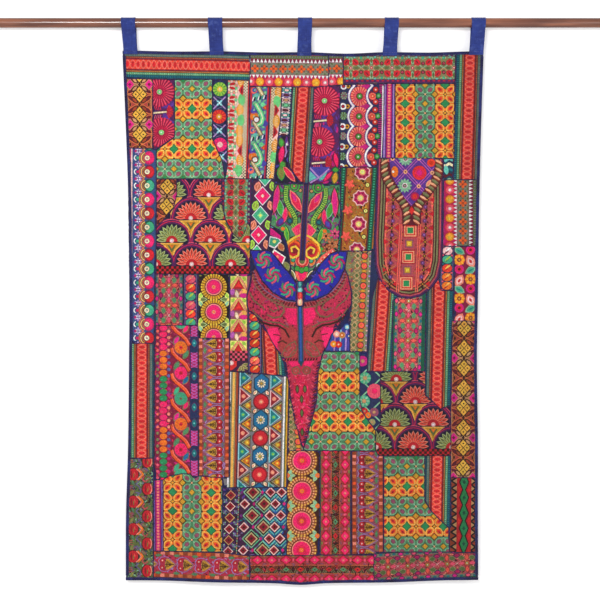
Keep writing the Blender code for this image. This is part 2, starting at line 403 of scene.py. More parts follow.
class Patch:
    """One patch: its ground, and the shapes stitched on it, each cut to the patch's outline."""

    def __init__(self, name, outline, start=(0.0, 0.0), end=(1.0, 0.0), flip=1):
        self.name = name
        self.outline = turned_right([(float(u), float(v)) for u, v in outline])
        self.convex = is_convex(self.outline)
        self.start, self.length = start, math.dist(start, end)
        self.du, self.dv = (end[0] - start[0]) / self.length, (end[1] - start[1]) / self.length
        self.flip = flip
        self.depth = max(self.across(u, v) for u, v in self.outline)
        self.base = 0
        # The patch's dye lot together with painted light and shade across the hanging
        self.dye = DYE_LOTS_AND_PAINTED_LIGHT.get(name, 1.0)
        self.points, self.lifts, self.eases, self.faces, self.tints, self.lays = [], [], [], [], [], []
        # Its own seed, so that no patch's stitches hang on another's
        self.chance = random.Random(len(name) * 31 + int(outline[0][0] * 7 + outline[0][1]))

    def place(self, a, b):
        """The layout's (u, v) for a place in the patch."""
        b *= self.flip
        return self.start[0] + a * self.du - b * self.dv, self.start[1] + a * self.dv + b * self.du

    def across(self, u, v):
        """How far a place lies across the patch's axis."""
        return ((v - self.start[1]) * self.du - (u - self.start[0]) * self.dv) * self.flip

    def counted(self, pitch, first=0.0):
        """Numbered places along the patch, pitch apart, from before its start to past its end."""
        step = -math.ceil((first + pitch) / pitch)
        while first + step * pitch < self.length + pitch:
            yield step, first + step * pitch
            step += 1

    def repeat(self, pitch, first=0.0):
        """The same places without their numbers."""
        for _, a in self.counted(pitch, first):
            yield a

    def tint(self, colour, spread=THREAD_SPREAD):
        """The colour as one length of thread has it, a little lighter or darker."""
        # self.dye holds the patch's dye lot and painted light and shade
        shade = self.dye * (1 + self.chance.uniform(-spread, spread))
        dyed = (c * shade * (1 + self.chance.uniform(-DYE_SPREAD, DYE_SPREAD)) for c in LINEAR[colour])
        return tuple(min(c, 1.0) for c in dyed)

    def nudge(self):
        """How far a corner strays."""
        return self.chance.uniform(-UNEVEN, UNEVEN)

    def add(self, points, lift, tint, lay, ease=0.0):
        """Points at one height over the cloth. It gives the first one's number."""
        first, count = len(self.points), len(points)
        self.points += points
        self.lifts += [lift] * count
        self.eases += [ease] * count
        self.tints += [tint] * count
        self.lays += [lay] * count
        return first

    def cut(self, corners):
        """The parts of a shape that lie in the patch."""
        if all(holds(self.outline, c) for c in corners):
            return [corners]
        if self.convex:
            return [clip(corners, self.outline)]
        if is_convex(corners):
            return [clip(self.outline, corners)]
        n = len(corners)
        middle = (sum(c[0] for c in corners) / n, sum(c[1] for c in corners) / n)
        fans = (turned_right([middle, corners[i - 1], corners[i]]) for i in range(n))
        return [clip(self.outline, fan) for fan in fans]

    def shape(self, points, colour, layer=1, turn=0.0, soft=SOFT_RIM):
        """A stitched shape: its rim lies on the layer below and is painted darker as shade, and its middle
        stands a layer higher.
        """
        places = [self.place(a, b) for a, b in points]
        corners = turned_right([(u + self.nudge(), v + self.nudge()) for u, v in places])
        tint = self.tint(colour)
        # Painted shade: the rim's colour is the tint darkened, where the shape drops to the layer below
        rim = tuple(c * PAINTED_RIM_SHADE for c in tint)
        angle = math.radians(turn) + math.atan2(self.dv, self.du)
        lay = (math.sin(angle), 0.0, math.cos(angle))
        layer += self.base
        for piece in self.cut(corners):
            if len(piece) < 3 or abs(signed_area(piece)) < LEAST_SHAPE:
                continue
            piece = finely(piece)
            n = len(piece)
            mu, mv = sum(p[0] for p in piece) / n, sum(p[1] for p in piece) / n
            size = sum(math.dist(p, (mu, mv)) for p in piece) / n
            drawn = min(MOST_DRAWN, soft / size)
            cap = [(u + (mu - u) * drawn, v + (mv - v) * drawn) for u, v in piece]
            low = self.add(piece, (layer - 1) * LAYER - SUNK, rim, lay, SHAPE_EASE)
            high = self.add(cap, layer * LAYER, tint, lay, SHAPE_EASE)
            self.faces += [(low + i, low + (i + 1) % n, high + (i + 1) % n, high + i) for i in range(n)]
            parts = in_cells(cap)
            if len(parts) == 1:
                self.faces.append(tuple(range(high, high + n)))
                continue
            for part in parts:
                first = self.add(part, layer * LAYER, tint, lay, SHAPE_EASE)
                self.faces.append(tuple(range(first, first + len(part))))

    def disc(self, a, b, r, colour, layer=1, across=None, sides=10, turn=0.0):
        """A disc, or an oval when its half width across isn't r."""
        across = across or r
        angles = [math.tau * i / sides for i in range(sides)]
        ring = [(r * math.cos(angle), across * math.sin(angle)) for angle in angles]
        self.shape(spun(ring, a, b, turn), colour, layer, turn)

    def rings(self, a, b, layer, *discs, squash=1.0):
        """Discs on one another, each given by its radius and colour."""
        for k, (r, colour) in enumerate(discs):
            sides = next(count for largest, count in DISC_SIDES if r < largest)
            self.disc(a, b, r, colour, layer + k, r * squash, sides)

    def lens(self, a, b, long, wide, turn, colour, layer=1):
        """A pointed oval, given by its half length and half width."""
        self.shape(spun([(x * long, y * wide) for x, y in LENS], a, b, turn), colour, layer, turn + 90)

    def leaf(self, a, b, long, wide, turn, rim, fill, layer=2, edge=1.0):
        """A pointed oval with a rim of another colour."""
        self.lens(a, b, long, wide, turn, rim, layer)
        self.lens(a, b, long - 1.5 * edge, wide - edge, turn, fill, layer + 1)

    def diamond(self, a, b, long, wide, colour, layer=1):
        """A diamond, given by its half sizes along and across."""
        self.shape([(a - long, b), (a, b - wide), (a + long, b), (a, b + wide)], colour, layer)

    def diamonds(self, a, b, layer, *sizes):
        """Diamonds on one another, each given by its two half sizes and colour."""
        for k, (long, wide, colour) in enumerate(sizes):
            self.diamond(a, b, long, wide, colour, layer + k)

    def box(self, a0, b0, a1, b1, colour, layer=1):
        """A rectangle between two of its corners."""
        self.shape([(a0, b0), (a1, b0), (a1, b1), (a0, b1)], colour, layer)

    def band(self, b0, b1, colour, layer=1, step=7.0):
        """A stripe along the whole patch, in lengths that overlap."""
        for a in self.repeat(step):
            near, far = a - 0.5, a + step + 0.5
            self.shape([(near, b0), (far, b0), (far, b1), (near, b1)], colour, layer, 90, 0.2)

    def bands(self, layer, *stripes):
        """Stripes on both sides of the axis, each given by its near and far edge and colour."""
        for near, far, colour in stripes:
            self.band(near, far, colour, layer)
            self.band(-far, -near, colour, layer)

    def dashes(self, b0, b1, pitch, share, colour, layer=2, first=0.0):
        """A row of boxes that fill a share of the pitch."""
        for a in self.repeat(pitch, first):
            self.box(a, b0, a + pitch * share, b1, colour, layer)

    def stroke(self, points, width, colour, layer=2):
        """A line of even width, one shape for each of its lengths."""
        half = width / 2
        for (a0, b0), (a1, b1) in runs(points):
            long = math.hypot(a1 - a0, b1 - b0) or 1.0
            ua, ub = (a1 - a0) / long * half, (b1 - b0) / long * half
            a0, b0 = a0 - STROKE_OVERLAP * ua, b0 - STROKE_OVERLAP * ub
            a1, b1 = a1 + STROKE_OVERLAP * ua, b1 + STROKE_OVERLAP * ub
            corners = [(a0 - ub, b0 + ua), (a1 - ub, b1 + ua), (a1 + ub, b1 - ua), (a0 + ub, b0 - ua)]
            turn = math.degrees(math.atan2(b1 - b0, a1 - a0))
            self.shape(corners, colour, layer, turn, width * STROKE_RIM)

    def ticks(self, path, pitch, long, wide, colours, layer, lean=90, from_run=True):
        """Short stitches along a path, their colours in turn, that lean from its run or from the axis."""
        number = 0
        for (a0, b0), (a1, b1) in runs(path):
            count = max(1, round(math.dist((a0, b0), (a1, b1)) / pitch))
            turn = lean + (math.degrees(math.atan2(b1 - b0, a1 - a0)) if from_run else 0)
            for k in range(count):
                spot = between((a0, b0), (a1, b1), (k + 0.5) / count)
                self.lens(*spot, long, wide, turn, colours[number % len(colours)], layer)
                number += 1

    def chequer(self, a0, b0, a1, b1, side, colours, layer=1):
        """Squares in two colours by turns."""
        for i in range(math.ceil((a1 - a0) / side)):
            for j in range(round((b1 - b0) / side)):
                a, b = a0 + i * side, b0 + j * side
                self.box(a, b, a + side, b + side, colours[(i + j) % 2], layer)

    def arc(self, a, b, r, first, last, width, colour, layer=2, steps=8, squash=1.0):
        """A bent line from one angle to another round a point."""
        angles = [math.radians(first + (last - first) * i / steps) for i in range(steps + 1)]
        path = [(a + r * math.cos(t), b + r * math.sin(t) * squash) for t in angles]
        self.stroke(path, width, colour, layer)

    def rays(self, a, b, inner, outer, count, colour, layer=2, share=0.5, first=0.0, span=360.0):
        """Tapered stitches round a point."""
        for i in range(count):
            t = math.radians(first + span * (i + 0.5) / count)
            w = math.radians(span * share / count / 2)
            spots = ((inner, t - w), (outer, t - w), (outer, t + w), (inner, t + w))
            corners = [(a + r * math.cos(angle), b + r * math.sin(angle)) for r, angle in spots]
            self.shape(corners, colour, layer, math.degrees(t) + 90, RAY_RIM)

    def petals(self, a, b, reach, long, wide, count, colour, layer=2, first=0.0, span=360.0):
        """Pointed ovals round a point, their middles at reach from it."""
        for i in range(count):
            t = first + span * i / (count if span == 360.0 else count - 1)
            r = math.radians(t)
            self.lens(a + reach * math.cos(r), b + reach * math.sin(r), long, wide, t, colour, layer)

    def flecks(self, colours, count, long, wide, along, across, layer=1):
        """Stitches scattered over a part of the patch."""
        for _ in range(count):
            a, b = self.chance.uniform(*along), self.chance.uniform(*across)
            size, turn = self.chance.uniform(0.6, 1.2), self.chance.uniform(0, 180)
            self.lens(a, b, long * size, wide * size, turn, self.chance.choice(colours), layer)

    def ground(self, colour):
        """The patch's own cloth: a grid cut to the outline, with its rim turned down into the seam."""
        us, vs = [p[0] for p in self.outline], [p[1] for p in self.outline]
        columns = max(2, math.ceil((max(us) - min(us)) / GRID))
        rows = max(2, math.ceil((max(vs) - min(vs)) / GRID))
        wide, deep = (max(us) - min(us)) / columns, (max(vs) - min(vs)) / rows
        # The ground takes the patch's dye lot and painted light and shade too
        tint, known = tuple(min(c * self.dye, 1.0) for c in LINEAR[colour]), {}

        def corner(place, lift):
            """The number of a corner, which is made only once."""
            key = (round(place[0], 3), round(place[1], 3), lift)
            if key not in known:
                known[key] = self.add([place], lift, tint, (1.0, 1.0, 0.0))
            return known[key]

        for i in range(columns):
            for j in range(rows):
                u, v = min(us) + i * wide, min(vs) + j * deep
                cell = [(u, v), (u + wide, v), (u + wide, v + deep), (u, v + deep)]
                for piece in self.cut(cell):
                    face = list(dict.fromkeys(corner(p, 0.0) for p in piece))
                    if len(face) > 2 and abs(signed_area(piece)) > LEAST_FACE:
                        self.faces.append(tuple(face))
        for p, q in edges(self.outline):
            rim = (corner(q, 0.0), corner(p, 0.0), corner(p, -SEAM_DEPTH), corner(q, -SEAM_DEPTH))
            self.faces.append(rim)

    def cords(self, colours=("aubergine", "ink", "navy")):
        """A couched cord along the patch's rim."""
        # The cord's own thread, without the patch's dye lot and painted light and shade
        self.dye = 1.0
        outer = []
        for p, q in edges(self.outline):
            count = max(1, round(math.dist(p, q) / CORD_STEP))
            outer += [between(p, q, i / count) for i in range(count)]
        n, first = len(outer), len(self.points)
        for i, (u, v) in enumerate(outer):
            (pu, pv), (qu, qv) = outer[i - 1], outer[(i + 1) % n]
            run = math.hypot(qu - pu, qv - pv) or 1.0
            nu, nv = (qv - pv) / run, -(qu - pu) / run
            sway = self.chance.uniform(-CORD_SWAY, CORD_SWAY) + CORD_RADIUS * CORD_OUT
            tint = self.tint(colours[i % len(colours)], CORD_SPREAD)
            for out, lift in CORD_SECTION:
                off = sway + out * CORD_RADIUS
                self.add([(u + nu * off, v + nv * off)], lift, tint, (nu, 0.0, nv))
        for i in range(n):
            j = (i + 1) % n
            for k in range(len(CORD_SECTION) - 1):
                near, far = (first + len(CORD_SECTION) * place + k for place in (i, j))
                self.faces.append((near, near + 1, far + 1, far))

    def finish(self, finish):
        """The patch as a mesh on the cloth's front."""
        points, lifts = np.array(self.points), np.array(self.lifts)
        near = np.full(len(points), np.inf)
        for p, q in edges(self.outline):
            p, edge = np.array(p), np.array(q) - np.array(p)
            t = np.clip((points - p) @ edge / max(edge @ edge, 1e-9), 0, 1)
            near = np.minimum(near, np.linalg.norm(points - p - t[:, None] * edge, axis=1))
        puff = PUFF * (1 - (1 - np.minimum((near + self.eases) / PUFF_REACH, 1)) ** 2)
        x, z = (points[:, 0] - MIDDLE_U) * SQUARE, (AXIS_V - points[:, 1]) * SQUARE
        places = np.column_stack([x, front_depth(x, z) - lifts - puff]).tolist()
        places = [(x, y, float(down)) for (x, y), down in zip(places, z, strict=True)]
        return new_mesh(self.name, places, self.faces, finish, self.tints, self.lays)


# The trims. Each draws on its patch, p, in the patch's own squares.


# The four ways from a point, and how a petal that points there is turned
QUARTERS = ((-1, -1, 45), (1, -1, -45), (1, 1, 45), (-1, 1, -45))


def ring_braid(p):
    """A chain of coral rings between dotted lines, with one green edge and one grey edge."""
    p.band(-5.8, 5.8, "garnet")
    p.band(-4.6, 4.6, "scarlet", 2)
    for a in p.repeat(5.3, 3.0):
        p.disc(a, 0, 2.8, "coral", 3, 4.9, 12)
        p.disc(a, 0, 1.9, "red", 4, 3.5, 10)
        p.disc(a, 0, 1.1, "crimson", 5, 2.4, 8)
    for near, far, ground, thread in (
        (6.4, 7.5, "ochre", "tan"), (8.0, 10.4, "fern", "sage"), (10.4, 13.5, "petrol", "teal"),
        (-7.5, -6.4, "rust", "tan"), (-10.4, -8.0, "smoke", "stone"), (-13.5, -10.4, "petrol", "bottle"),
    ):
        p.band(near, far, ground)
        p.dashes(near + 0.3, far - 0.5, 1.9, 0.6, thread)
    p.bands(1, (5.8, 6.4, "maroon"), (7.5, 8.0, "umber"))


def petal_trellis(p, top, bright, flower, pitch=18.2, deep=20.0):
    """Rows of bright and of muted petals in turn, from top across the patch."""
    half, row = deep / 2, 0
    while top + row * deep < p.depth:
        middle = top + row * deep + half
        is_bright = (row % 2 == 0) == bright
        p.band(middle - half, middle + half, "orange" if is_bright else "fern")
        for a in p.repeat(pitch, flower):
            if is_bright:
                bright_flower(p, a, middle, pitch, half)
            else:
                muted_flower(p, a, middle, pitch)
        row += 1


def bright_flower(p, a, b, pitch, half):
    """Four orange petals with red seeds, and the green diamond after them."""
    p.diamonds(a + pitch / 2, b, 2, (4.9, 5.4, "bottle"), (4.0, 4.4, "green"))
    p.diamond(a, b, 2.6, 2.6, "umber", 2)
    p.diamond(a, b, 1.6, 1.6, "amber", 3)
    for sa, sb, turn in QUARTERS:
        p.leaf(a + sa * 4.6, b + sb * 5.0, 5.9, 3.9, turn, "apricot", "orange", 2, 1.1)
        p.lens(a + sa * 4.8, b + sb * 5.2, 3.0, 1.7, turn, "red", 4)
        p.lens(a + sa * 5.2, b + sb * 5.6, 1.6, 0.8, turn, "garnet", 5)
    for side in (-1, 1):
        p.diamonds(a, b + side * (half + 0.3), 3, (3.9, 3.9, "umber"), (3.1, 3.1, "mustard"))
        p.disc(a + pitch / 2, b + side * (half - 0.4), 1.1, "black", 3, sides=6)


def muted_flower(p, a, b, pitch):
    """Four green petals with mauve seeds between crossed threads."""
    for side in (-1, 1):
        p.stroke([(a - 9, b - side * 9), (a, b), (a + 9, b + side * 9)], 0.9, "sage", 4)
        p.diamonds(a, b + side * 8.4, 2, (3.6, 3.4, "moss"), (2.6, 2.4, "green"))
        p.diamond(a + pitch / 2, b + side * 8.0, 2.0, 2.0, "khaki", 2)
    for sa, sb, turn in QUARTERS:
        p.leaf(a + sa * 4.6, b + sb * 5.0, 4.9, 3.5, turn, "sage", "fern", 2, 0.65)
        p.lens(a + sa * 4.6, b + sb * 5.0, 3.0, 2.1, turn, "mauve", 5)
        p.disc(a + sa * 8.2, b + sb * 1.6, 0.8, "sage", 2, sides=5)
    p.diamonds(a + pitch / 2, b, 3, (3.9, 3.7, "moss"), (3.0, 2.9, "mustard"))
    p.rings(a, b, 4, (1.7, "umber"), (1.1, "peach"))


def orange_crosses(p, first=5.0, pitch=9.3, disc=10.2):
    """Orange crosses between rows of white points, with discs and diamonds along one side."""
    p.band(-16, -12.6, "moss")
    p.dashes(-15.2, -13.4, 2.6, 0.5, "grey")
    p.band(-12.6, -8.2, "wine")
    p.band(-8.2, 3.4, "stone")
    p.band(3.4, 16, "cerise")
    for a in p.repeat(3.85):
        p.shape([(a - 1.7, -8.5), (a, -12.5), (a + 1.7, -8.5)], "white", 2)
        p.shape([(a - 1.7, 3.7), (a, 7.2), (a + 1.7, 3.7)], "white", 3)
    for a in p.repeat(pitch, first):
        p.petals(a, -2.4, 2.3, 2.1, 1.6, 4, "vermilion", 3)
        p.petals(a, -2.4, 2.3, 1.2, 0.6, 4, "orange", 4)
        p.petals(a, -2.4, 3.5, 0.9, 0.8, 4, "maroon", 2, 45)
        p.disc(a, -2.4, 0.7, "brown", 5, sides=6)
        for b in (-7.0, -2.4, 2.2):
            p.lens(a + pitch / 2, b, 1.5, 0.8, 0, "moss", 2)
    for i, a in p.counted(pitch, disc):
        if i % 2 == 0:
            p.rings(a, 10.6, 2, (4.9, "crimson"), (4.4, "orange"), (3.6, "amber"), squash=1.05)
            p.disc(a + 0.6, 11.2, 1.6, "gold", 5)
        else:
            p.rings(a, 10.6, 2, (4.7, "scarlet"), (3.9, "rose"), (1.9, "blush"), (1.1, "white"))


# One wing of a butterfly, in its quarter
WING = ((2.2, 3.4), (4.8, 2.2), (8.8, 3.4), (9.2, 8.2), (5.6, 9.2), (2.8, 7.0))


def butterfly_trellis(p, first=7.0, pitch=20.3):
    """Pairs of crimson wings about crossed lines, with ringed dots between them."""
    p.bands(1, (0, 11.5, "drab"), (11.5, 15, "plum"))
    for side in (-1, 1):
        p.dashes(side * 9.8, side * 11.0, 2.6, 0.45, "sage")
        p.dashes(side * 12.2, side * 13.6, 5.1, 0.5, "crimson" if side > 0 else "sage", 2, first)
    for a in p.repeat(pitch, first):
        for sa, sb, _ in QUARTERS:
            arm = [(a, 0), (a + sa * 5, sb * 4), (a + sa * 9.6, sb * 10.4)]
            p.stroke(arm, 0.8, "tan" if sb > 0 else "sage", 2)
            p.shape([(a + sa * x, sb * y) for x, y in WING], "crimson", 3, 45 * sa * sb)
            p.lens(a + sa * 5.9, sb * 5.9, 2.6, 0.6, 50 * sa * sb, "maroon", 4)
            p.disc(a + sa * 1.9, sb * 9.9, 1.2, "tan", 2, sides=6)
        for side in (-1, 1):
            p.rings(a, side * 4.4, 3, (2.0, "maroon"), (1.2, "rose"), (0.6, "umber"))
            p.disc(a, side * 10.0, 2.6, "jade", 2, 1.5, 8)
            p.leaf(a + pitch / 2, side * 7.2, 2.6, 4.0, 0, "sage", "moss", 2, 0.9)
            p.lens(a + side * 4.6, 0, 2.4, 1.2, 0, "moss", 2)
            for other in (-1, 1):
                p.lens(a + pitch / 2 + other * 3.6, side * 10.8, 1.5, 1.0, 0, "sea", 2)
                p.lens(a + pitch / 2 + other * 2.8, side * 2.4, 2.2, 0.8, 45 * side * other, "tan", 2)
        p.rings(a + pitch / 2, 0, 3, (2.4, "sage"), (1.9, "crimson"), (0.8, "white"))


def gold_star(p, first=16.5, pitch=20.0, odd=0):
    """Stars of four gold diamonds, with copper petals about a knot between one and the next."""
    p.band(-14, 14, "brick")
    p.bands(1, (9.6, 11.0, "brown"), (11.0, 12.0, "tan"), (12.0, 14.0, "maroon"))
    for i, a in p.counted(pitch, first):
        for side in (-1, 1):
            p.leaf(a - 4.2, side * 7.8, 6.6, 3.2, 52 * side, "clay", "maroon", 2)
            p.leaf(a + 4.2, side * 7.8, 6.6, 3.2, -52 * side, "clay", "maroon", 2)
        p.diamond(a, 0, 9.6, 8.0, "umber", 4)
        for da, db in ((-4.2, 0), (4.2, 0), (0, -3.7), (0, 3.7)):
            p.diamond(a + da, db, 3.9, 3.4, "honey", 5)
            p.disc(a + da, db, 0.95, "umber", 6, sides=6)
        star_knot(p, a + pitch / 2, i % 2 == odd)


def star_knot(p, a, strong):
    """Four brown petals with a pink diamond at both sides, or with a small leaf."""
    for sa, sb, turn in QUARTERS:
        p.leaf(a + sa * 4.2, sb * 4.8, 6.2, 3.4, turn, "tan" if strong else "clay", "umber", 2, 0.9)
        p.lens(a + sa * 4.2, sb * 4.8, 3.4, 1.4, turn, "tan" if strong else "rust", 4)
    p.rings(a, 0, 4, (1.5, "umber"))
    for side in (-1, 1):
        if strong:
            p.diamonds(a, side * 9.6, 4, (6.2, 5.2, "tan"), (5.4, 4.5, "fuchsia"), (1.9, 1.8, "wine"))
        else:
            p.leaf(a, side * 9.2, 3.4, 1.8, 0, "copper", "umber", 3, 0.7)


def fan_wheels(p, wheels, bars, corner=False):
    """Wheels of red ribs about green discs, with a pale bar and a fan's tip between them."""
    p.flecks(("magenta", "wine", "violet"), 90, 4.0, 1.6, (wheels[0][0] - 9, wheels[0][0] + 18), (78, 186))
    for u, v in bars:
        for side in (-1, 1):
            p.lens(u + 14, v + side * 8, 7, 3.4, 30 * side, "violet", 2)
    for u, v in wheels:
        p.rings(u, v, 3, (14.8, "wine"))
        p.rays(u, v, 3.6, 15.0, 26, "carmine", 4, 0.62)
        p.rays(u, v, 7.0, 14.2, 26, "rose", 5, 0.3)
        p.rings(u, v, 6, (3.9, "wine"), (3.3, "rose"), (2.7, "spring"), (1.0, "white"))
    for u, v in bars:
        p.rays(u + 12.5, v - 0.6, 0.5, 7.4, 7, "crimson", 4, 0.8, -70, 140)
        p.stroke([(u, v + 0.6), (u + 13, v - 0.6)], 2.6, "maroon", 5)
        p.stroke([(u, v + 0.6), (u + 13, v - 0.6)], 1.7, "cream", 6)
        for k in range(4):
            p.stroke([(u + 1 + k * 1.8, v + 6), (u + 2 + k * 1.8, v + 2.4)], 0.8, "rose", 3)
            p.stroke([(u + 1 + k * 1.8, v - 6), (u + 2 + k * 1.8, v - 2.4)], 0.8, "carmine", 3)
    if corner:
        fan_corner(p)


def scalloped(r, lobes, depth=0.12):
    """A disc with a notched edge."""
    turns = [(r * (1 - depth * (i % 2)), math.pi * i / lobes) for i in range(2 * lobes)]
    return [(reach * math.cos(turn), reach * math.sin(turn)) for reach, turn in turns]


def round_flowers(p, flowers):
    """Round ribbed flowers with knots of crossed threads between them."""
    for u, v, outer, inner, heart in flowers:
        p.shape(spun(scalloped(7.4, 12), u, v, 0), inner, 2)
        p.rays(u, v, 1.6, 7.0, 12, outer, 3, 0.66)
        p.rings(u, v, 4, (3.0, heart), (1.3, "cream"))
    for u, v in ((219.6, 103.2), (219.6, 131.0), (221.5, 157)):
        for side in (-1, 1):
            p.stroke([(u - 6, v - side * 6), (u + 6, v + side * 6)], 1.3, "lilac", 2)
            p.stroke([(u - 3.4, v - side * 6.4), (u + 3.4, v - side * 3.6)], 0.8, "dusk", 2)
            p.stroke([(u - 6.2, v + side * 1.6), (u - 3.2, v + side * 4.4)], 0.8, "dusk", 2)
        p.petals(u, v, 1.9, 2.4, 1.1, 4, "sky", 3, 45)
        p.disc(u, v, 1.0, "white", 4, sides=6)


def wavy_leaf(p, leaves, wide, margin):
    """A vine of leaves in changing colours, between a dotted margin and a chequered rim."""
    rim = -wide / 2
    p.band(rim, rim + 1.4, "crimson")
    p.band(rim + 1.4, rim + 5.8, "cream")
    p.band(rim + 5.8, rim + 11.8, "blush")
    for k in range(3):
        p.dashes(rim + 1.5 + 1.45 * k, rim + 2.9 + 1.45 * k, 2.9, 0.46, "black", 2, 1.45 * (k % 2))
    for a, sway, colour in leaves:
        if colour == "crimson":
            leaf = ((-7, 5.8), (-3, 8.8), (0, 10.6), (3, 8.8), (7, 5.8))
            p.shape([(a + x, rim + y + sway) for x, y in leaf], "crimson", 4, 90)
            p.lens(a, rim + 7.4 + sway, 3.6, 0.8, 0, "maroon", 5)
        else:
            p.lens(a, rim + 8.2 + sway, 7.6, 3.9, 0, colour, 3)
            for k in range(5):
                stitch = [(a - 5.0 + 2.1 * k, rim + 6.4 + sway), (a - 3.6 + 2.1 * k, rim + 9.6 + sway)]
                p.stroke(stitch, 0.6, "cream" if colour == "amber" else "mint", 4)
    if not margin:
        return
    for i, a in p.counted(2.9):
        for k in range(4):
            spot = (a + (k % 2) * 1.4, rim + 12.9 + 2.4 * k)
            p.disc(*spot, 1.7, ("cream", "blush", "salmon", "mint")[(i + 2 * k) % 4], 2, 1.4, 6)
    for a in p.repeat(13.4, 6.5):
        for side in (-1, 1):
            p.lens(a + side * 2.0, rim + 17.0, 1.7, 3.4, 14 * side, "crimson", 4)
        p.lens(a, rim + 17.0, 0.7, 2.6, 0, "blush", 5)


def hooks(p, pitch=40.0):
    """Hook shapes, discs and slanted bars."""
    p.bands(1, (7.6, 9.4, "crimson"), (9.4, 14, "navy"))
    for a in p.repeat(6.6, 1.0):
        for b in (-5, 0, 5):
            p.leaf(a + b * 0.4, b, 2.8, 1.8, 35, "mint", "sage", 2, 0.6)
    for a in p.repeat(pitch):
        for da, db, r, colour in (
            (3.5, 6.0, 3.4, "coral"), (10, -4, 3.4, "indigo"), (24, 5.4, 3.2, "indigo"),
            (36, -6, 3.4, "indigo"), (17, -3.4, 2.4, "mint"), (29.5, 4.6, 4.4, "orange"),
            (43, 5.4, 2.6, "blue"), (8.4, 3.2, 2.6, "sea"),
        ):
            p.rings(a + da, db, 3, (r, colour))
        bar = [(a - 5.5, 5), (a + 7.5, -3)]
        hook = [(a + 16.5, 3.6), (a + 25.5, -2.0), (a + 30.5, -3.8), (a + 36.0, -2.6), (a + 38.0, 1.0)]
        for line, rim, fill, wide in ((bar, "maroon", "sand", 3.4), (hook, "teal", "mint", 4.4)):
            p.stroke(line, wide + 0.9, rim, 4)
            p.stroke(line, wide, fill, 5)
            p.stroke(line, 0.8, "cream", 6)
        p.rings(a + 32.5, 2.2, 7, (3.6, "brown"), (2.5, "white"), (1.0, "blush"))
        p.shape([(a + 17, -7.4), (a + 22.5, -7.4), (a + 20.5, -3)], "crimson", 4)
        p.lens(a + 20.5, -6.0, 1.8, 1.2, 0, "orange", 5)
        for k in range(8):
            tick = [(a + 14.0 - 0.4 * k, 6.9 - 1.8 * k), (a + 10.4 - 0.4 * k, 6.1 - 1.8 * k)]
            p.stroke(tick, 1.2, ("white", "black", "jade")[k % 3], 7)


def beads(p, colours):
    """Oval beads in pale rims, side by side."""
    for i, a in p.counted(5.0, 3.4):
        rim, fill = colours[i % len(colours)]
        p.disc(a, 0, 2.4, rim, 2, 4.6, 8)
        p.disc(a, 0, 1.6, "ink", 3, 3.6, 8)
        p.disc(a, 0, 1.2, fill, 4, 2.6, 7)
        for side in (-1, 1):
            p.lens(a + 2.5, side * 3.4, 0.8, 1.6, 0, "white", 4)


def scallops(p):
    """Ribbed flowers between two pale scalloped lines, with bright dots beside them."""
    for k in range(-1, 5):
        cusp, shift = 106.5 + 20.2 * (k - 1), -0.55 * (k - 1)
        mid, u = cusp + 10.1, 359 + shift
        p.lens(u + 9.5, mid, 7.0, 6.5, 0, "wine", 1)
        p.diamond(u + 6.6, cusp, 7.0, 3.2, "magenta", 2)
        p.rings(u, mid, 2, (9.9, "crimson"))
        p.rays(u, mid, 3.4, 9.8, 20, "salmon", 3, 0.62)
        p.rays(u, mid, 3.2, 6.2, 20, "rose", 4, 0.5)
        p.rings(u, mid, 5, (3.6, "brown"), (3.0, "moss"), (2.3, "leaf"), (1.0, "white"))
        for offset in (-5.6, 12.6):
            shares = [step / 8 for step in range(9)]
            line = [(u + offset - 5.2 * math.sin(math.pi * t) ** 0.8, cusp + 20.2 * t) for t in shares]
            p.stroke(line, 3.2, "violet", 5)
            p.stroke(line, 1.9, "white", 6)
        for v in (mid - 6.6, mid + 5.6):
            p.rings(u + 16.0, v, 3, (2.9, "crimson"), (2.2, "flame"), (1.2, "blush"))
        p.rings(u + 13.0, mid, 4, (3.8, "coral"), (2.2, "scarlet"), (1.1, "peach"))
        p.rings(u + 18.9, mid - 0.4, 5, (3.1, "bottle"), (2.5, "leaf"), (1.4, "sage"))
        for row in range(10):
            p.stroke([(u + 20, cusp - 9 + row * 2.0), (u + 23.6, cusp - 9 + row * 2.0)], 1.1, "magenta", 2)
        p.rings(u - 16.0, cusp, 3, (3.6, "white"), (2.0, "wine"), (1.0, "crimson"))
        p.rings(u - 11.4, cusp, 3, (2.4, "mustard"), (1.2, "umber"))
        p.rings(u - 15.6, mid - 0.6, 2, (4.0, "moss" if k % 2 else "mauve"))
        p.rays(u - 15.6, mid - 0.6, 1.0, 3.8, 8, "sage", 3, 0.4)
        p.stroke([(u - 9.5, mid - 8), (u - 11.5, mid), (u - 9.5, mid + 8)], 1.6, "aubergine", 2)
    p.stroke([(382.9, 86), (382.5, 120), (381.3, 165)], 1.3, "white", 4)


def pink_dots(p):
    """Pink dots in a magenta line between lilac ones."""
    p.bands(1, (3.8, 5.2, "lilac"), (5.2, 7, "royal"))
    p.band(-3.8, 3.8, "violet")
    p.band(-2.9, 2.9, "wine", 2)
    p.band(-2.2, 2.2, "magenta", 3)
    for a in p.repeat(3.0):
        p.disc(a, 0, 1.35, "salmon", 4, 1.6, 7)


def mirrored(spots, side):
    """The places, on the side of the axis that side says."""
    return [(a, side * b) for a, b in spots]


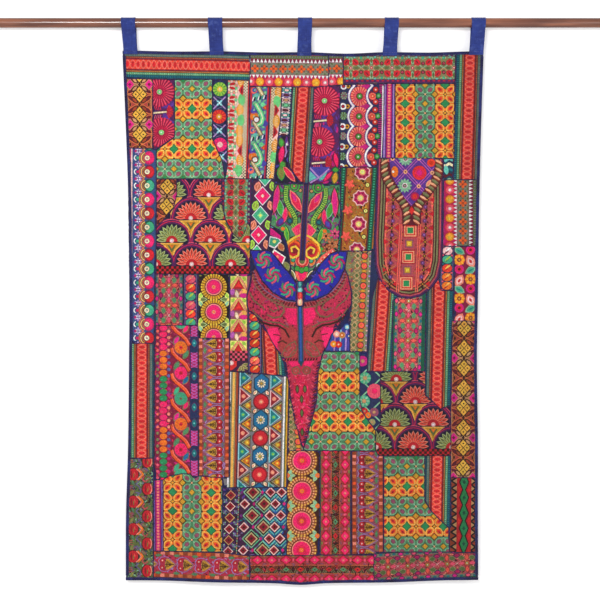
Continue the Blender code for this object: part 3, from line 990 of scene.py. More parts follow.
def pearl_border(p, first=9.5, pitch=13.85):
    """Discs with a pearl in orange scallops, beside small bead flowers and a pink line."""
    for i, a in p.counted(13, 0):
        p.box(a, 16.5, a + 13.5, 23, ("cerise", "petrol", "plum", "teal")[i % 4], 1)
    p.band(14.9, 16.3, "blush", 2)
    for i, a in p.counted(pitch, first):
        rim, fill = (("cerise", "hot"), ("wine", "crimson"), ("bottle", "jade"))[i % 3]
        p.disc(a, -1.6, 6.8, rim, 2, 5.6, 14)
        p.disc(a, -2.4, 5.6, fill, 3, 4.6, 12)
        for r, colour in ((7.4, "clay"), (5.6, "apricot"), (3.9, "ochre")):
            p.arc(a, 0.6, r, 20, 160, 1.1, colour, 3, 7)
        p.rings(a, 0.2, 4, (3.1, "brown"), (2.7, "cream"), (1.3, rim), (0.6, "white"))
        p.arc(a, 10.4, 2.6, 20, 160, 1.1, "white", 3, 5)
        p.disc(a, 9.6, 1.7, "cerise" if i % 3 else "jade", 4, sides=7)
        middle = a + pitch / 2
        p.petals(middle, 8.9, 2.4, 1.8, 1.1, 6, "lilac", 3)
        p.petals(middle, 8.9, 1.6, 1.0, 0.6, 4, "white", 4, 45)
        p.disc(middle, 11.6, 1.3, "cerise", 5, sides=6)
        p.disc(middle, 13.4, 1.1, "violet", 2, sides=6)


def arch(u, v, r, drop=24.0):
    """A round arch with straight sides."""
    turns = [math.pi * i / 14 for i in range(15)]
    top = [(u - r * math.cos(turn), v - 1.04 * r * math.sin(turn)) for turn in turns]
    return [(u - r, v + drop), *top, (u + r, v + drop)]


def lotus(p, u, v, is_red):
    """Half a lotus: two rows of pointed petals round a dome with a pale dot."""
    rim, fill, vein = ("salmon", "scarlet", "maroon") if is_red else ("celery", "olive", "bottle")
    p.petals(u, v - 0.5, 9.6, 6.3, 2.2, 11, rim, 4, 180, 180)
    p.petals(u, v - 0.5, 9.3, 5.4, 1.35, 11, fill, 5, 180, 180)
    p.petals(u, v - 0.5, 7.6, 4.6, 1.5, 10, rim, 6, 189, 162)
    p.petals(u, v - 0.5, 7.4, 3.8, 0.85, 10, fill, 7, 189, 162)
    p.petals(u, v - 0.5, 10.2, 2.8, 0.35, 11, vein, 8, 180, 180)
    turns = [math.pi * i / 9 for i in range(10)]
    dome = [(u - 6 * math.cos(turn), v + 1.5 - 6.4 * math.sin(turn)) for turn in turns]
    p.shape(dome, "crimson", 8)
    p.rings(u, v + 0.2, 9, (2.4, "blush"), (1.4, "white"))


# The pointed shapes below a lotus, one on another
LOTUS_FOOT = (
    (((-12, 2.4), (12, 2.4), (4, 10), (0, 21), (-4, 10)), "apricot"),
    (((-8.6, 3.6), (8.6, 3.6), (2.6, 9), (0, 17), (-2.6, 9)), "mustard"),
    (((-4.6, 4.6), (4.6, 4.6), (0, 12)), "moss"),
    (((-2.6, 4.8), (2.6, 4.8), (0, 8.6)), "orange"),
)


def lotus_arches(p, rows, edge):
    """Rows of lotuses under arches. The arches of each row cover the wedges below the row above."""
    bows = ((20.9, "rose"), (20.1, "plum"), (18.8, "carmine"), (18.1, "plum"), (16.4, "ink"))
    for v, flowers in rows:
        for u, _ in flowers:
            for k, (r, colour) in enumerate(bows):
                p.shape(arch(u, v, r), colour, 1 + k)
        p.base += 3
        for u, is_red in flowers:
            for layer, (points, colour) in enumerate(LOTUS_FOOT, 3):
                p.shape([(u + x, v + y) for x, y in points], colour, layer)
            lotus(p, u, v, is_red)
        p.base += 1
    p.base += 6
    p.chequer(edge[0], edge[2], edge[1], edge[2] + 7.5, 2.5, ("crimson", "umber"))


def diamond_strip(p, diamonds):
    """Outlined diamonds, with leaves in the corners between them."""
    for i, (u, v, colour, heart) in enumerate(diamonds):
        core = "carmine" if colour == "hot" else "mint"
        p.diamonds(u, v, 2, (8.6, 9.9, "white"), (7.7, 8.8, colour), (3.4, 3.8, core), (1.9, 2.1, heart))
        for side in (-1, 1):
            rim, fill = ("salmon", "copper") if (i % 2 == 0) == (side < 0) else ("lime", "olive")
            p.leaf(u + 0.4 + side * 7.6, v + 9.8, 5.4, 3.7, 90 - side * 16, rim, fill, 2, 1.3)
            p.lens(u + 0.4 + side * 7.6, v + 9.8, 3.6, 0.9, 90 - side * 16, rim, 4)


def scrap_diamonds(p):
    """A scrap of the strip of diamonds, with parts of two of them."""
    p.shape([(270, 227), (281, 236), (281, 240), (270, 235)], "magenta", 2)
    p.shape([(270, 236), (279, 238), (282, 241), (275, 249), (268, 246)], "white", 2)
    p.shape([(270.6, 237.4), (278.6, 239), (280.4, 241.2), (274.6, 247.4), (269, 245)], "jade", 3)
    p.disc(274.4, 241.6, 1.9, "lemon", 4)
    p.shape([(274, 249), (286, 257), (282, 266), (270, 256)], "white", 2)
    p.shape([(274.2, 250.8), (284.4, 257.4), (281.6, 263.8), (271.8, 255.8)], "hot", 3)
    p.disc(277.6, 257.0, 1.8, "salmon", 4)
    p.leaf(281, 247, 5.2, 3.4, 60, "tan", "copper")
    p.leaf(286.6, 266, 5.2, 3.4, 62, "khaki", "olive")
    p.leaf(272, 224, 5.2, 3.4, 50, "sea", "jade")


# The leaf panel's leaves on one side: place, half length, half width, turn, and colours of rim and fill
PANEL_LEAVES = (
    (17, 9.6, 13.0, 4.7, -30, "salmon", "carmine"), (13.0, 11.6, 6.4, 2.9, -30, "rose", "fuchsia"),
    (16, 29.4, 15.0, 3.6, 5, "rose", "fuchsia"), (24, 25.0, 9.6, 4.0, -12, "sage", "leaf"),
    (31, 19.6, 8.2, 2.8, 4, "rose", "hot"), (30, 14.8, 4.8, 1.9, -24, "copper", "orange"),
    (38, 23.4, 5.4, 3.0, 35, "purple", "indigo"), (50, 16.8, 8.6, 2.6, -12, "lime", "leaf"),
    (56, 11.6, 8.6, 2.6, 60, "moss", "mustard"), (77, 10.4, 5.2, 3.0, -30, "tan", "orange"),
    (90, 8.4, 6.0, 2.2, -28, "cream", "olive"),
)


def panel_leaves(p, side):
    """The stems of one side, and its leaves, each on a dark ground."""
    p.stroke(mirrored(((4, 32), (14, 26.4), (24, 22), (33, 24), (38, 29)), side), 1.5, "leaf", 2)
    p.stroke(mirrored(((26, 32), (34, 28), (41, 27), (44, 22)), side), 1.3, "orchid", 2)
    for k, (a, b, long, wide, turn, rim, fill) in enumerate(PANEL_LEAVES):
        layer = 5 if (rim, fill) == ("rose", "fuchsia") else 4
        p.lens(a, side * b, long + 1.2, wide + 0.9, turn * side, ("plum", "bottle", "umber")[k % 3], 3)
        p.leaf(a, side * b, long, wide, turn * side, rim, fill, layer)


def panel_hook(p, side):
    """The thick ribbed curl of one side, with its eye and a disc past it."""
    hook = ((3, 19.6), (9, 20.2), (16, 19.4), (22, 16.4), (28, 12.4), (34, 9.0), (39.5, 8.8), (42, 11.6))
    p.stroke(mirrored(hook, side), 5.2, "bottle", 6)
    p.stroke(mirrored(hook, side), 4.0, "lime", 7)
    p.ticks(mirrored(hook, side), 2.0, 2.0, 0.6, ("bottle",), 8)
    p.rings(36.8, side * 14.6, 6, (3.7, "moss"), (3.1, "petrol"), (1.9, "teal"))
    p.rings(45.0, side * 21.0, 4, (3.5, "green"), (2.2, "orange"))


def panel_fan(p, side):
    """The pink ribbed fan under the curl."""
    fan = ((45, 12.6), (40.5, 9.4), (38.0, 3.4), (59, 2.4), (53, 6.8))
    p.shape(mirrored(fan, side), "salmon", 6)
    p.shape([(47 + (a - 47) * 0.86, side * (6.6 + (b - 6.6) * 0.80)) for a, b in fan], "hot", 7)
    for b, end in ((9.6, 5.2), (7.0, 4.0), (4.4, 3.2)):
        p.stroke([(43.5, side * b), (55.5, side * end)], 0.8, "rose", 8)


def panel_horn(p, side):
    """The red disc of one side with the golden horn curled about it, and two small discs below."""
    horn = ((50, 2), (53, 9), (58, 15), (65, 17.2), (71, 15), (73.6, 9.4), (71, 4.2), (65.6, 3.6),
            (61.8, 7.4), (63.6, 11.6), (67.6, 10.6))
    p.rings(65, side * 8.6, 4, (10.0, "moss"), (9.2, "vermilion"), (6.8, "crimson"), (4.6, "garnet"),
            squash=0.88)
    p.stroke(mirrored(horn, side), 2.0, "gold", 9)
    p.stroke([(a + 3.2, b) for a, b in mirrored(horn[:4], side)], 1.4, "orange", 10)
    p.rings(75.6, side * 9.0, 6, (2.7, "umber"), (2.1, "jade"))
    p.rings(84, side * 4.4, 8, (3.2, "bottle"), (2.5, "leaf"))


def panel_foot(p):
    """The red boss and the pink tongue at the panel's foot."""
    p.rings(76, 0, 6, (7.4, "salmon"), (6.6, "crimson"), (4.8, "salmon"), (3.2, "moss"), squash=0.95)
    p.rings(85.5, 0, 8, (3.4, "bottle"), (2.7, "leaf"))
    p.shape([(83, -7), (83, 7), (92, 5.5), (100, 0), (92, -5.5)], "coral", 4)
    p.shape([(85, -5), (85, 5.6), (92, 4.4), (98, 0)], "hot", 5)


def panel_scraps(p):
    """The small flowers and the dotted stem that only one side has."""
    spots = (
        (47, 31, "fuchsia"), (50, 22.5, "clay"), (57, 29, "copper"), (63, 24, "rust"), (58, 35, "clay"),
    )
    for a, b, colour in spots:
        p.petals(a, b, 3.0, 2.8, 1.5, 6, colour, 4)
        p.petals(a, b, 2.6, 1.4, 0.6, 6, "tan", 5)
        p.disc(a, b, 1.3, "umber", 6, sides=6)
    dotted = [(64, 31), (72, 21), (78, 17)]
    p.stroke(dotted, 5.6, "coral", 5)
    p.ticks(dotted, 2.6, 1.0, 0.8, ("cream", "crimson"), 6)
    p.rings(80, 17.6, 6, (3.2, "white"), (2.4, "jade"))


def v_panel(p):
    """A mirrored neckline panel of curling leaves about a dark upright band."""
    p.flecks(("leaf", "green", "plum", "purple", "bottle", "mauve", "moss", "ink"), 430, 3.2, 1.3,
             (-4, 104), (-36, 36))
    for side in (-1, 1):
        p.rings(2.0, side * 12.0, 2, (6.6, "bottle"), (6.0, "leaf"), (4.6, "plum"), (3.6, "leaf"),
                (1.9, "moss"), (1.0, "salmon"))
        p.rings(6.0, side * 5.6, 3, (2.1, "umber"), (1.6, "tan"))
        panel_leaves(p, side)
        panel_hook(p, side)
        panel_fan(p, side)
        panel_horn(p, side)
    panel_foot(p)
    panel_scraps(p)
    for width, colour, layer in ((6.2, "mauve", 13), (4.8, "navy", 14), (2.0, "aubergine", 15)):
        p.stroke([(-6, 0), (40, 0), (76 - 0.3 * width, 0)], width, colour, layer)


def crescent(p, rosettes):
    """A blue moon-shaped piece with pinwheels."""
    p.flecks(("indigo", "navy"), 60, 2.6, 1.0, (250, 348), (250, 302))
    for u, v, r in rosettes:
        for i in range(8):
            steps = [(r * (0.2 + 0.18 * k), math.radians(45 * i + 25 * k)) for k in range(5)]
            arm = [(u + reach * math.cos(t), v + reach * math.sin(t)) for reach, t in steps]
            p.stroke(arm, 1.9, ("rose", "jade", "cerise", "fern")[i % 4], 3)
        p.rings(u, v, 4, (2.0, "mauve"), (1.0, "plum"))


def bead_drop(p):
    """The beads between the two moons."""
    for v, long, rim, fill in ((284, 4.2, "teal", "sea"), (290, 2.8, "sea", "sky"),
                               (295.8, 4.6, "crimson", "ember"), (302, 4.4, "peach", "cream")):
        p.disc(300, v, 2.6, rim, 2, long)
        p.disc(300, v, 1.5, fill, 3, long * 0.66)


def rose_border(p, side):
    """The ribbed border along one side of the rose neck piece."""
    border = ((-29, 47), (-17, 42.8), (-7, 34.8), (0.5, 23.5), (4, 12.5), (5, 3.6))
    p.stroke(mirrored(border, side), 6.6, "rosewood", 3)
    p.stroke([(a + 3.0, b) for a, b in mirrored(border, side)], 1.1, "bark", 4)
    p.ticks(mirrored(border, side), 3.1, 2.8, 1.2, ("maroon", "garnet"), 4, 90 + 24 * side)
    p.stroke([(a - 3.0, b) for a, b in mirrored(border, side)], 0.8, "dusk", 4)


def rose_fields(p, side):
    """The plain pink and red fields of one side, with the arcs stitched on them."""
    p.shape(mirrored(((7, 3.4), (7, 13), (15, 15.5), (23, 12), (26, 3.4)), side), "hot", 3)
    p.shape(mirrored(((28, 33), (27, 23), (34, 20.5), (42, 22), (50, 24.5), (44, 29), (37, 32)), side),
            "hot", 3)
    p.shape(mirrored(((28, 20), (25, 10), (30, 3.4), (58, 3.4), (58, 15), (50, 22), (38, 19)), side),
            "brick", 3)
    for r in (4, 7, 10):
        p.arc(47, side * 14, r, -130 * side, 50 * side, 1.1, ("bark", "rosewood")[r % 2], 4, 7)
    for r in (9, 13, 17):
        p.arc(58, side * 2, r, 96 * side, 170 * side, 1.0, ("bark", "rosewood")[r % 3 == 1], 5, 6)


def rose_stems(p, side):
    """The curling stems of one side: each path's width, colour and layer."""
    stems = (
        (((11, 49), (17, 44.5), (22, 38), (24.5, 30), (25.5, 22), (29.5, 15.5), (37, 11.5)),
         1.8, "umber", 6),
        (((9, 47.5), (15, 43), (19.4, 37), (21.6, 29), (22.6, 21), (27, 12)), 1.3, "bark", 5),
        (((14, 33), (17.4, 27), (16.5, 20), (11, 16), (4, 17), (0, 23), (-1, 30)), 1.6, "bark", 4),
        (((8, 31), (11.4, 26), (8.6, 21.4), (4.4, 24)), 1.2, "bark", 4),
        (((-8, 50), (0, 46), (6, 38), (9, 36)), 1.3, "bark", 4),
        (((42, 23), (40.4, 18), (43, 14)), 1.5, "stain", 5),
        (((34, 27), (35, 21)), 0.9, "umber", 5),
    )
    for path, width, colour, layer in stems:
        p.stroke(mirrored(path, side), width, colour, layer)


def rose_point(p, side):
    """One side of the long point below the placket, between two rows of slanting stitches."""
    scales = ((61, 18.5), (75, 16), (90, 13.5), (105, 11.8), (118, 9.5), (130, 6), (143, 1.6))
    inner = ((64, 13.5), (80, 12), (100, 8.8), (118, 6), (134, 2.4))
    p.ticks(mirrored(((59.4, 3), (59.4, 17)), side), 2.8, 1.6, 0.8, ("umber",), 6, 60)
    p.shape(mirrored(((61, 3), (61, 13.4), (67, 9), (65, 2)), side), "hot", 4)
    p.rings(70.5, side * 5.4, 5, (4.3, "bark"), (3.5, "brick"), (1.6, "bark"), (0.9, "rose"))
    p.ticks(mirrored(scales, side), 3.0, 2.8, 1.0, ("maroon", "plum"), 5, 90 + 35 * side)
    p.ticks(mirrored(inner, side), 4.2, 2.2, 0.7, ("wine", "rose"), 5, 90 - 30 * side)


def rose_pod(p):
    """The leafy pod in the middle of the point."""
    p.shape([(76, -4), (76, 4), (92, 8.5), (112, 6.5), (130, 3), (138, 0), (130, -3), (112, -6.5),
             (92, -8.5)], "carmine", 3)
    p.flecks(("hot", "crimson", "rose"), 90, 2.6, 0.8, (74, 136), (-7, 7), 4)
    for a, b in ((89, -4.2), (89, 3.4), (99, 0), (113, 0), (132, 0)):
        p.leaf(a, b, 4.6, 2.1, 0, "maroon", "moss", 6, 0.7)


def rose_yoke(p):
    """A neck piece in chain stitch about a blue placket, with curling stems and a leafy pod below."""
    p.flecks(("rosewood", "brick", "cerise", "hot", "mauve", "claret"), 760, 3.2, 0.9, (-32, 150),
             (-56, 56))
    p.flecks(("maroon", "wine"), 560, 1.2, 0.8, (-20, 58), (-54, 54), 2)
    for side in (-1, 1):
        rose_border(p, side)
        rose_fields(p, side)
        rose_stems(p, side)
        rose_point(p, side)
    rose_pod(p)
    for width, colour, layer in ((6.0, "mauve", 9), (4.9, "petrol", 10), (2.2, "blue", 11)):
        p.stroke([(6, 0), (34, 0), (61, 0)], width, colour, layer)
    p.shape([(60.4, -3.2), (67, 0), (60.4, 3.2)], "petrol", 10)


def brown_flowers(p, first=5.0, pitch=26.0):
    """Round pink flowers on brown, with small discs and buds, between dashed green edges."""
    p.bands(1, (12.0, 13.2, "maroon"), (13.2, 18, "bottle"))
    for side in (-1, 1):
        p.dashes(side * 14.4, side * 16.4, 2.6, 0.55, "jade")
    p.flecks(("rust", "olive", "mustard", "umber"), 300, 2.0, 0.7, (-5, 95), (-11.5, 11.5))
    for a in p.repeat(pitch, first):
        p.shape(spun(scalloped(8.6, 8, 0.16), a, 3.2, 22), "blush", 3)
        p.shape(spun(scalloped(7.5, 8, 0.18), a, 3.2, 22), "cerise", 4)
        p.petals(a, 3.2, 5.0, 1.4, 0.9, 8, "wine", 5, 22)
        p.rings(a, 3.2, 6, (3.7, "salmon"), (2.6, "lemon"), (1.0, "cream"))
        p.petals(a + 13, -8.6, 2.6, 3.0, 1.7, 5, "ember", 3)
        p.petals(a + 18.5, -7.4, 1.6, 2.2, 1.2, 3, "rust", 3)
        p.rings(a + 12.5, 9.2, 3, (2.6, "black"), (2.0, "lemon"), (0.7, "tan"))
        p.disc(a + 9, 4.5, 1.2, "black", 3, sides=6)


def inset(points, by):
    """The outline moved inwards, as a closed path."""
    out, n = [], len(points)
    for i in range(n + 1):
        (x0, y0), (x1, y1), (x2, y2) = points[(i - 1) % n], points[i % n], points[(i + 1) % n]
        before, after = math.dist((x0, y0), (x1, y1)), math.dist((x1, y1), (x2, y2))
        nx = -(y1 - y0) / before - (y2 - y1) / after
        ny = (x1 - x0) / before + (x2 - x1) / after
        scale = 2 * by / max(nx * nx + ny * ny, 0.5)
        out.append((x1 + nx * scale, y1 + ny * scale))
    return out


def yoke_rim(p):
    """The borders one within the other along the rim of the round neck piece."""
    rim = turned_right([(u, v if v > 160 else 130) for u, v in p.outline])
    p.flecks(("rosewood", "rust", "copper", "crimson", "maroon"), 420, 1.8, 0.8, (384, 434), (184, 292))
    for by, wide, colour in (
        (0.8, 1.6, "plum"), (2.3, 1.4, "rosewood"), (3.6, 1.2, "maroon"), (5.0, 1.6, "drab"),
        (6.5, 1.4, "umber"), (7.8, 1.2, "drab"), (9.0, 1.2, "maroon"), (10.4, 1.6, "coral"),
    ):
        p.stroke(inset(rim, by), wide, colour, 2)


def yoke_flowers(p, side):
    """The small crossed flowers down one side of the column, and the two lines beside them."""
    for v in (200, 214, 228, 242, 256, 270, 284):
        u = 408.6 - (v - 228) * 0.05 + side * (17 - 0.5 * (v > 280))
        p.disc(u - side * 1.0, v - 7, 2.6, "mauve", 3, sides=8)
        p.rings(u - side * 1.0, v - 7, 4, (1.9, "purple"), (0.8, "lilac"))
        for k in (-1, 1):
            p.stroke([(u - 6.4, v - k * 5), (u + 6.4, v + k * 5)], 0.9, "clay", 4)
            p.shape([(u + k * 7.4, v - 3.2), (u + k * 2.4, v), (u + k * 7.0, v + 2.8)], "crimson", 3)
            p.lens(u, v + k * 3.6, 1.6, 1.2, 90, "umber", 5)
        p.rings(u, v, 5, (1.7, "umber"), (0.9, "mustard"))
    for gap in (8.4, 10.4):
        p.stroke([(410.2 + side * gap, 224), (406.8 + side * gap, 292)], 1.0, "coral", 6)


def yoke_squares(p):
    """The column of squares, bright and dark by turns."""
    bright = ((6.9, "crimson"), (6.1, "peach"), (5.1, "red"), (3.9, "peach"), (2.9, "green"))
    dark = ((6.0, "rosewood"), (4.2, "mauve"), (2.9, "mustard"), (1.8, "gold"))
    for v in (230.5, 243.7, 257, 270.2, 283.4):
        u = 410.2 - (v - 230) * 0.075
        for k, (half, colour) in enumerate(dark if v in (243.7, 270.2) else bright):
            p.box(u - half, v - half, u + half, v + half, colour, 3 + k)


def yoke_ladders(p):
    """The two rows of slanting stitches along the V, and the diamond where they meet."""
    ladder = (
        (160, 27.2), (172, 27), (180, 24.3), (189, 18.3), (196, 12.8), (203.5, 7.6), (211, 4.8),
        (224, 4.8),
    )
    outer = [(v + 2, b + 4.6) for v, b in ladder]
    p.shape([(411.5 - b, v) for v, b in outer] + [(411.5 + b, v) for v, b in outer[::-1]], "maroon", 5)
    for side in (-1, 1):
        for down, stitch, wide, colours, layer in (
            (0, 4.5, 1.4, ("peach", "drab"), 6), (1.7, 4.1, 0.7, ("rust", "moss"), 7),
        ):
            path = [(411.5 + side * b, v + down) for v, b in ladder]
            p.ticks(path, 4.1, stitch, wide, colours, layer, 32 * side, False)
    p.shape([(408.6, 211), (411.5, 206), (414.4, 211), (411.5, 215)], "red", 8)


def yoke_lattice(p, window):
    """The crossed double lines inside the V."""
    for side in (-1, 1):
        for k in range(-2, 3):
            for off in (-1.5, 1.5):
                u, v = 405.3 + 13.3 * k + off, 172 + side * -13.9 * k
                rise = side * 42
                line = [(u - 40, v - rise), (u - 39, v - rise), (u + 40, v + rise), (u + 39, v + rise)]
                part = clip(turned_right(line), window)
                if len(part) > 2:
                    p.shape(part, "orchid", 1, 45 * side)


def yoke_window(p):
    """The violet V with its lattice, the discs and flowers between the lines, and a knot on each crossing."""
    edge = [(388, 130), (389.5, 165), (392.5, 178), (399, 190), (405, 199), (411, 206.5)]
    edge += [(417, 200), (424, 190.5), (431, 179), (434.5, 167), (436, 130)]
    p.shape(edge, "violet", 6)
    p.base = 6
    yoke_lattice(p, turned_right(edge))
    for u, v in ((404.6, 185.8), (405.4, 159)):
        p.petals(u, v, 4.6, 2.9, 1.4, 12, "sage", 3)
        p.rings(u, v, 4, (2.9, "white"), (2.2, "mauve"), (1.0, "sage"))
    p.rings(419.3, 173, 3, (7.3, "red"), (5.4, "carmine"), (3.0, "fuchsia"))
    p.disc(394.6, 172, 3.6, "orange", 3, 6.0)
    p.rings(393, 172, 4, (1.4, "white"))
    p.rings(414.6, 196.6, 3, (4.4, "cerise"), (2.8, "red"))
    p.rings(431, 163, 3, (4.2, "scarlet"), (2.2, "flame"))
    p.leaf(428.4, 183.4, 4.4, 2.2, -55, "peach", "salmon", 3)
    for u, v in ((405.3, 172), (418.6, 186.4), (432, 173), (418.8, 158.6), (392.4, 159)):
        p.rings(u, v, 4, (2.2, "peach"), (0.9, "maroon"))


def round_yoke(p):
    """A round-ended neck piece: a latticed V above a column of squares, with borders along its rim."""
    yoke_rim(p)
    for side in (-1, 1):
        yoke_flowers(p, side)
    yoke_squares(p)
    yoke_ladders(p)
    yoke_window(p)


# The pale and the dark stitch on a round leaf, by the leaf's colour
LEAF_STITCHES = {"jade": ("lime", "fern"), "blush": ("white", "wine"), "rose": ("salmon", "carmine")}


def leaf_dots(p, first, colours, pitch=8.7):
    """Round leaves with slanted stitches, and small dots between them."""
    p.bands(1, (5.3, 6.1, "dusk"))
    for i, a in p.counted(pitch, first):
        colour = colours[i % len(colours)]
        pale, deep = LEAF_STITCHES.get(colour, ("apricot", "crimson"))
        p.disc(a, 0, 4.2, colour, 2, 5.1, 12)
        p.lens(a - 1.3, -0.6, 4.0, 1.2, 48, pale, 3)
        p.lens(a + 1.5, 1.0, 3.6, 0.9, 48, deep, 3)
        for side in (-1, 1):
            p.disc(a + pitch / 2, side * 4.4, 1.1, "teal" if colour == "jade" else "rose", 2, sides=6)


def mixed_flowers(p):
    """Yellow flowers, salmon leaves, magenta discs and grey-green leaves that change sides in turn."""
    for k in range(-1, 5):
        side, v = (1, -1)[k % 2], 255 + 19.3 * k
        near, far = 464.5 - side * 5.6, 464.5 + side * 5.6
        p.rings(near, v + 5, 3, (5.6, "orange"))
        p.petals(near, v + 5, 3.8, 2.2, 1.3, 8, "amber", 4)
        p.rings(near, v + 5, 5, (2.1, "wine"), (1.3, "mustard"))
        p.leaf(far, v + 6.4, 6.8, 4.8, 60 * side, "salmon", "blush", 2, 1.4)
        p.lens(far, v + 6.4, 2.4, 1.4, 60 * side, "crimson", 4)
        p.rings(far, v - 5, 3, (4.8, "fuchsia"), (3.2, "carmine"), (1.6, "maroon"))
        p.leaf(near, v - 4, 6.4, 3.9, 30 * side, "sage", "jade", 2, 1.2)
        p.lens(near, v - 4, 3.6, 0.7, 30 * side, "teal", 4)


def tan_lattice(p):
    """A chain of coral discs beside a lattice of olive leaves, with a pale dotted edge."""
    p.band(-8.0, -6.6, "khaki")
    p.band(-9.8, -8.0, "stone")
    p.band(-18, -9.8, "night")
    p.flecks(("copper", "drab", "clay", "khaki"), 240, 2.0, 0.8, (-4, 104), (-8, 12))
    for a in p.repeat(9.9, 4.0):
        p.rings(a, -3.4, 2, (3.7, "umber"), (3.1, "ember"), (1.3, "orange"))
        p.lens(a + 5, -3.4, 1.5, 2.8, 0, "mustard", 3)
        p.leaf(a, 3.4, 4.4, 2.6, 0, "tan", "moss", 2, 0.8)
        for low, high in ((0.4, 6.8), (6.8, 0.4)):
            p.stroke([(a - 5, low), (a, high), (a + 5, low)], 0.6, "sand", 4)
        p.disc(a, -8.9, 1.1, "lilac", 3, sides=6)
        p.disc(a + 5, -8.9, 1.0, "blush", 3, sides=6)
        p.lens(a + 5, 8.6, 2.6, 1.1, 20, "mauve", 3)


def striped_scrap(p):
    """Blue stripes with a few discs."""
    for k in range(7):
        colour = ("blue", "lilac", "indigo", "sky")[k % 4]
        p.stroke([(333 + 2.7 * k, 330), (331 + 2.9 * k, 352)], 1.5, colour, 2)
    for u, v, rim, fill in (
        (333.6, 344, "orange", "amber"), (338.6, 344.4, "crimson", "scarlet"), (342, 335, "tan", "orange"),
        (336.6, 334, "salmon", "blush"), (347, 327, "blue", "sky"), (349, 336, "indigo", "blue"),
    ):
        p.rings(u, v, 3, (3.6, rim), (2.4, fill), (1.0, "cream"))


def zigzag_scrap(p):
    """Zigzag lines in five colours."""
    for k, colour in enumerate(("sea", "cream", "teal", "maroon", "sage")):
        v = 159 + 5.2 * k
        p.stroke([(441.5, v), (445, v + 2.2), (449, v - 0.4), (453, v + 1.6)], 2.6, colour, 2)
    p.lens(446, 170, 5.0, 2.6, 80, "sea", 3)


def cross_flowers(p, first, pitch=19.7, corner="fern"):
    """Coral ovals crossed about olive dots, with dark leaves in the corners, between rows of pink ovals."""
    p.bands(1, (10.4, 13.4, "stone"), (13.4, 18, "bottle"))
    p.flecks(("rosewood", "brick", corner, "mauve", "salmon", "umber"), 620, 1.7, 0.7, (-4, 110),
             (-10.6, 10.6))
    for i, a in p.counted(13.2, first):
        for side in (-1, 1):
            p.leaf(a, side * 12.0, 3.4, 2.2, 0, "plum", ("rose", "fuchsia")[i % 2], 2, 0.6)
            p.lens(a + 6.6, side * 12.4, 2.2, 1.2, 0, "teal", 2)
    for a in p.repeat(pitch, first):
        for side in (-1, 1):
            p.leaf(a, side * 6.0, 4.0, 2.4, 90, "brick", "ember", 4, 0.6)
            p.leaf(a + side * 5.4, 0, 4.2, 2.4, 0, "brick", "rose", 4, 0.6)
            p.leaf(a + pitch / 2, side * 8.0, 3.6, 2.4, 0, "plum", "cerise", 4, 0.6)
            for other in (-1, 1):
                p.leaf(a + side * 5.2, other * 5.4, 3.6, 2.6, 0, "khaki", corner, 3, 0.5)
        p.rings(a, 0, 5, (2.4, "clay"), (1.7, "olive"), (0.8, "cream"))
        for low, high in ((-6, 6), (6, -6)):
            p.stroke([(a + pitch / 2 - 4, low * 0.4), (a + pitch / 2 + 4, high * 0.4)], 0.6, "blush", 3)


def mustard_circles(p, centres):
    """Pink discs in rings of golden stitches, with pale leaves in the corners between them."""
    p.flecks(("umber", "olive"), 60, 2.4, 1.0, (196, 232), (272, 340))
    for u, v in centres:
        for side in (-1, 1):
            for turn, rim, fill in ((-55, "lemon", "lime"), (0, "celery", "moss"), (55, "lemon", "sage")):
                angle = math.radians(turn)
                spot = (u + side * (15.8 - 5.0 * math.cos(angle)), v + 12.5 + 5.0 * math.sin(angle))
                p.leaf(*spot, 4.8, 2.4, -side * turn, rim, fill, 2, 0.8)
            p.disc(u + side * 14.6, v + 12.5, 1.8, "lemon", 4, sides=8)
        p.rings(u, v, 4, (13.9, "umber"), (13.2, "mustard"))
        p.rays(u, v, 8.8, 13.0, 28, "brown", 6, 0.3)
        for i in range(28):
            t = math.tau * i / 28
            p.disc(u + 12.4 * math.cos(t), v + 12.4 * math.sin(t), 0.8, "gold", 7, sides=5)
        p.rings(u, v, 7, (9.2, "umber"), (8.6, "salmon"), (7.4, "magenta"), (6.6, "hot"), (2.2, "salmon"),
                (1.2, "orange"))


def arrows(p, first=-2.0, pitch=21.5, corner=False):
    """Red arrowheads under yellow chevrons, with a pale drop and bright petals between them."""
    for a in p.repeat(pitch, first):
        p.box(a + 3, -8.4, a + 15.4, 8.4, "lemon")
        for side in (-1, 1):
            p.lens(a + 5.8, side * 5.6, 2.6, 1.7, 40 * side, "lime", 2)
            p.lens(a + 12.6, side * 7.2, 3.2, 1.3, 15 * side, "apricot", 2)
            p.stroke([(a + 3.8, side * 0.8), (a + 8.6, side * 5.0), (a + 15.2, side * 8.0)], 0.9, "tan", 3)
            p.stroke([(a + 4.6, side * 0.6), (a + 10, side * 4.2), (a + 16.4, side * 7.4)], 1.3, "salmon", 4)
        p.shape([(a + 5.6, 0), (a + 15.8, 5.9), (a + 15.8, -5.9)], "crimson", 5)
        p.shape([(a + 9, 0), (a + 14.2, 3.2), (a + 14.2, -3.2)], "red", 6)
        p.disc(a + 18.8, 6.2, 3.6, "orchid", 2, 2.6)
        p.disc(a + 18.6, -5.2, 3.0, "apricot", 2, 3.4)
        p.disc(a + 22.6, -5.0, 2.6, "fuchsia", 3, 4.0)
        p.lens(a + 19.6, -2.0, 3.4, 1.2, 40, "salmon", 4)
        p.leaf(a + 21.2, 1.6, 4.8, 2.4, -14, "tan", "cream", 3, 0.6)
    if corner:
        lotus_scrap(p)


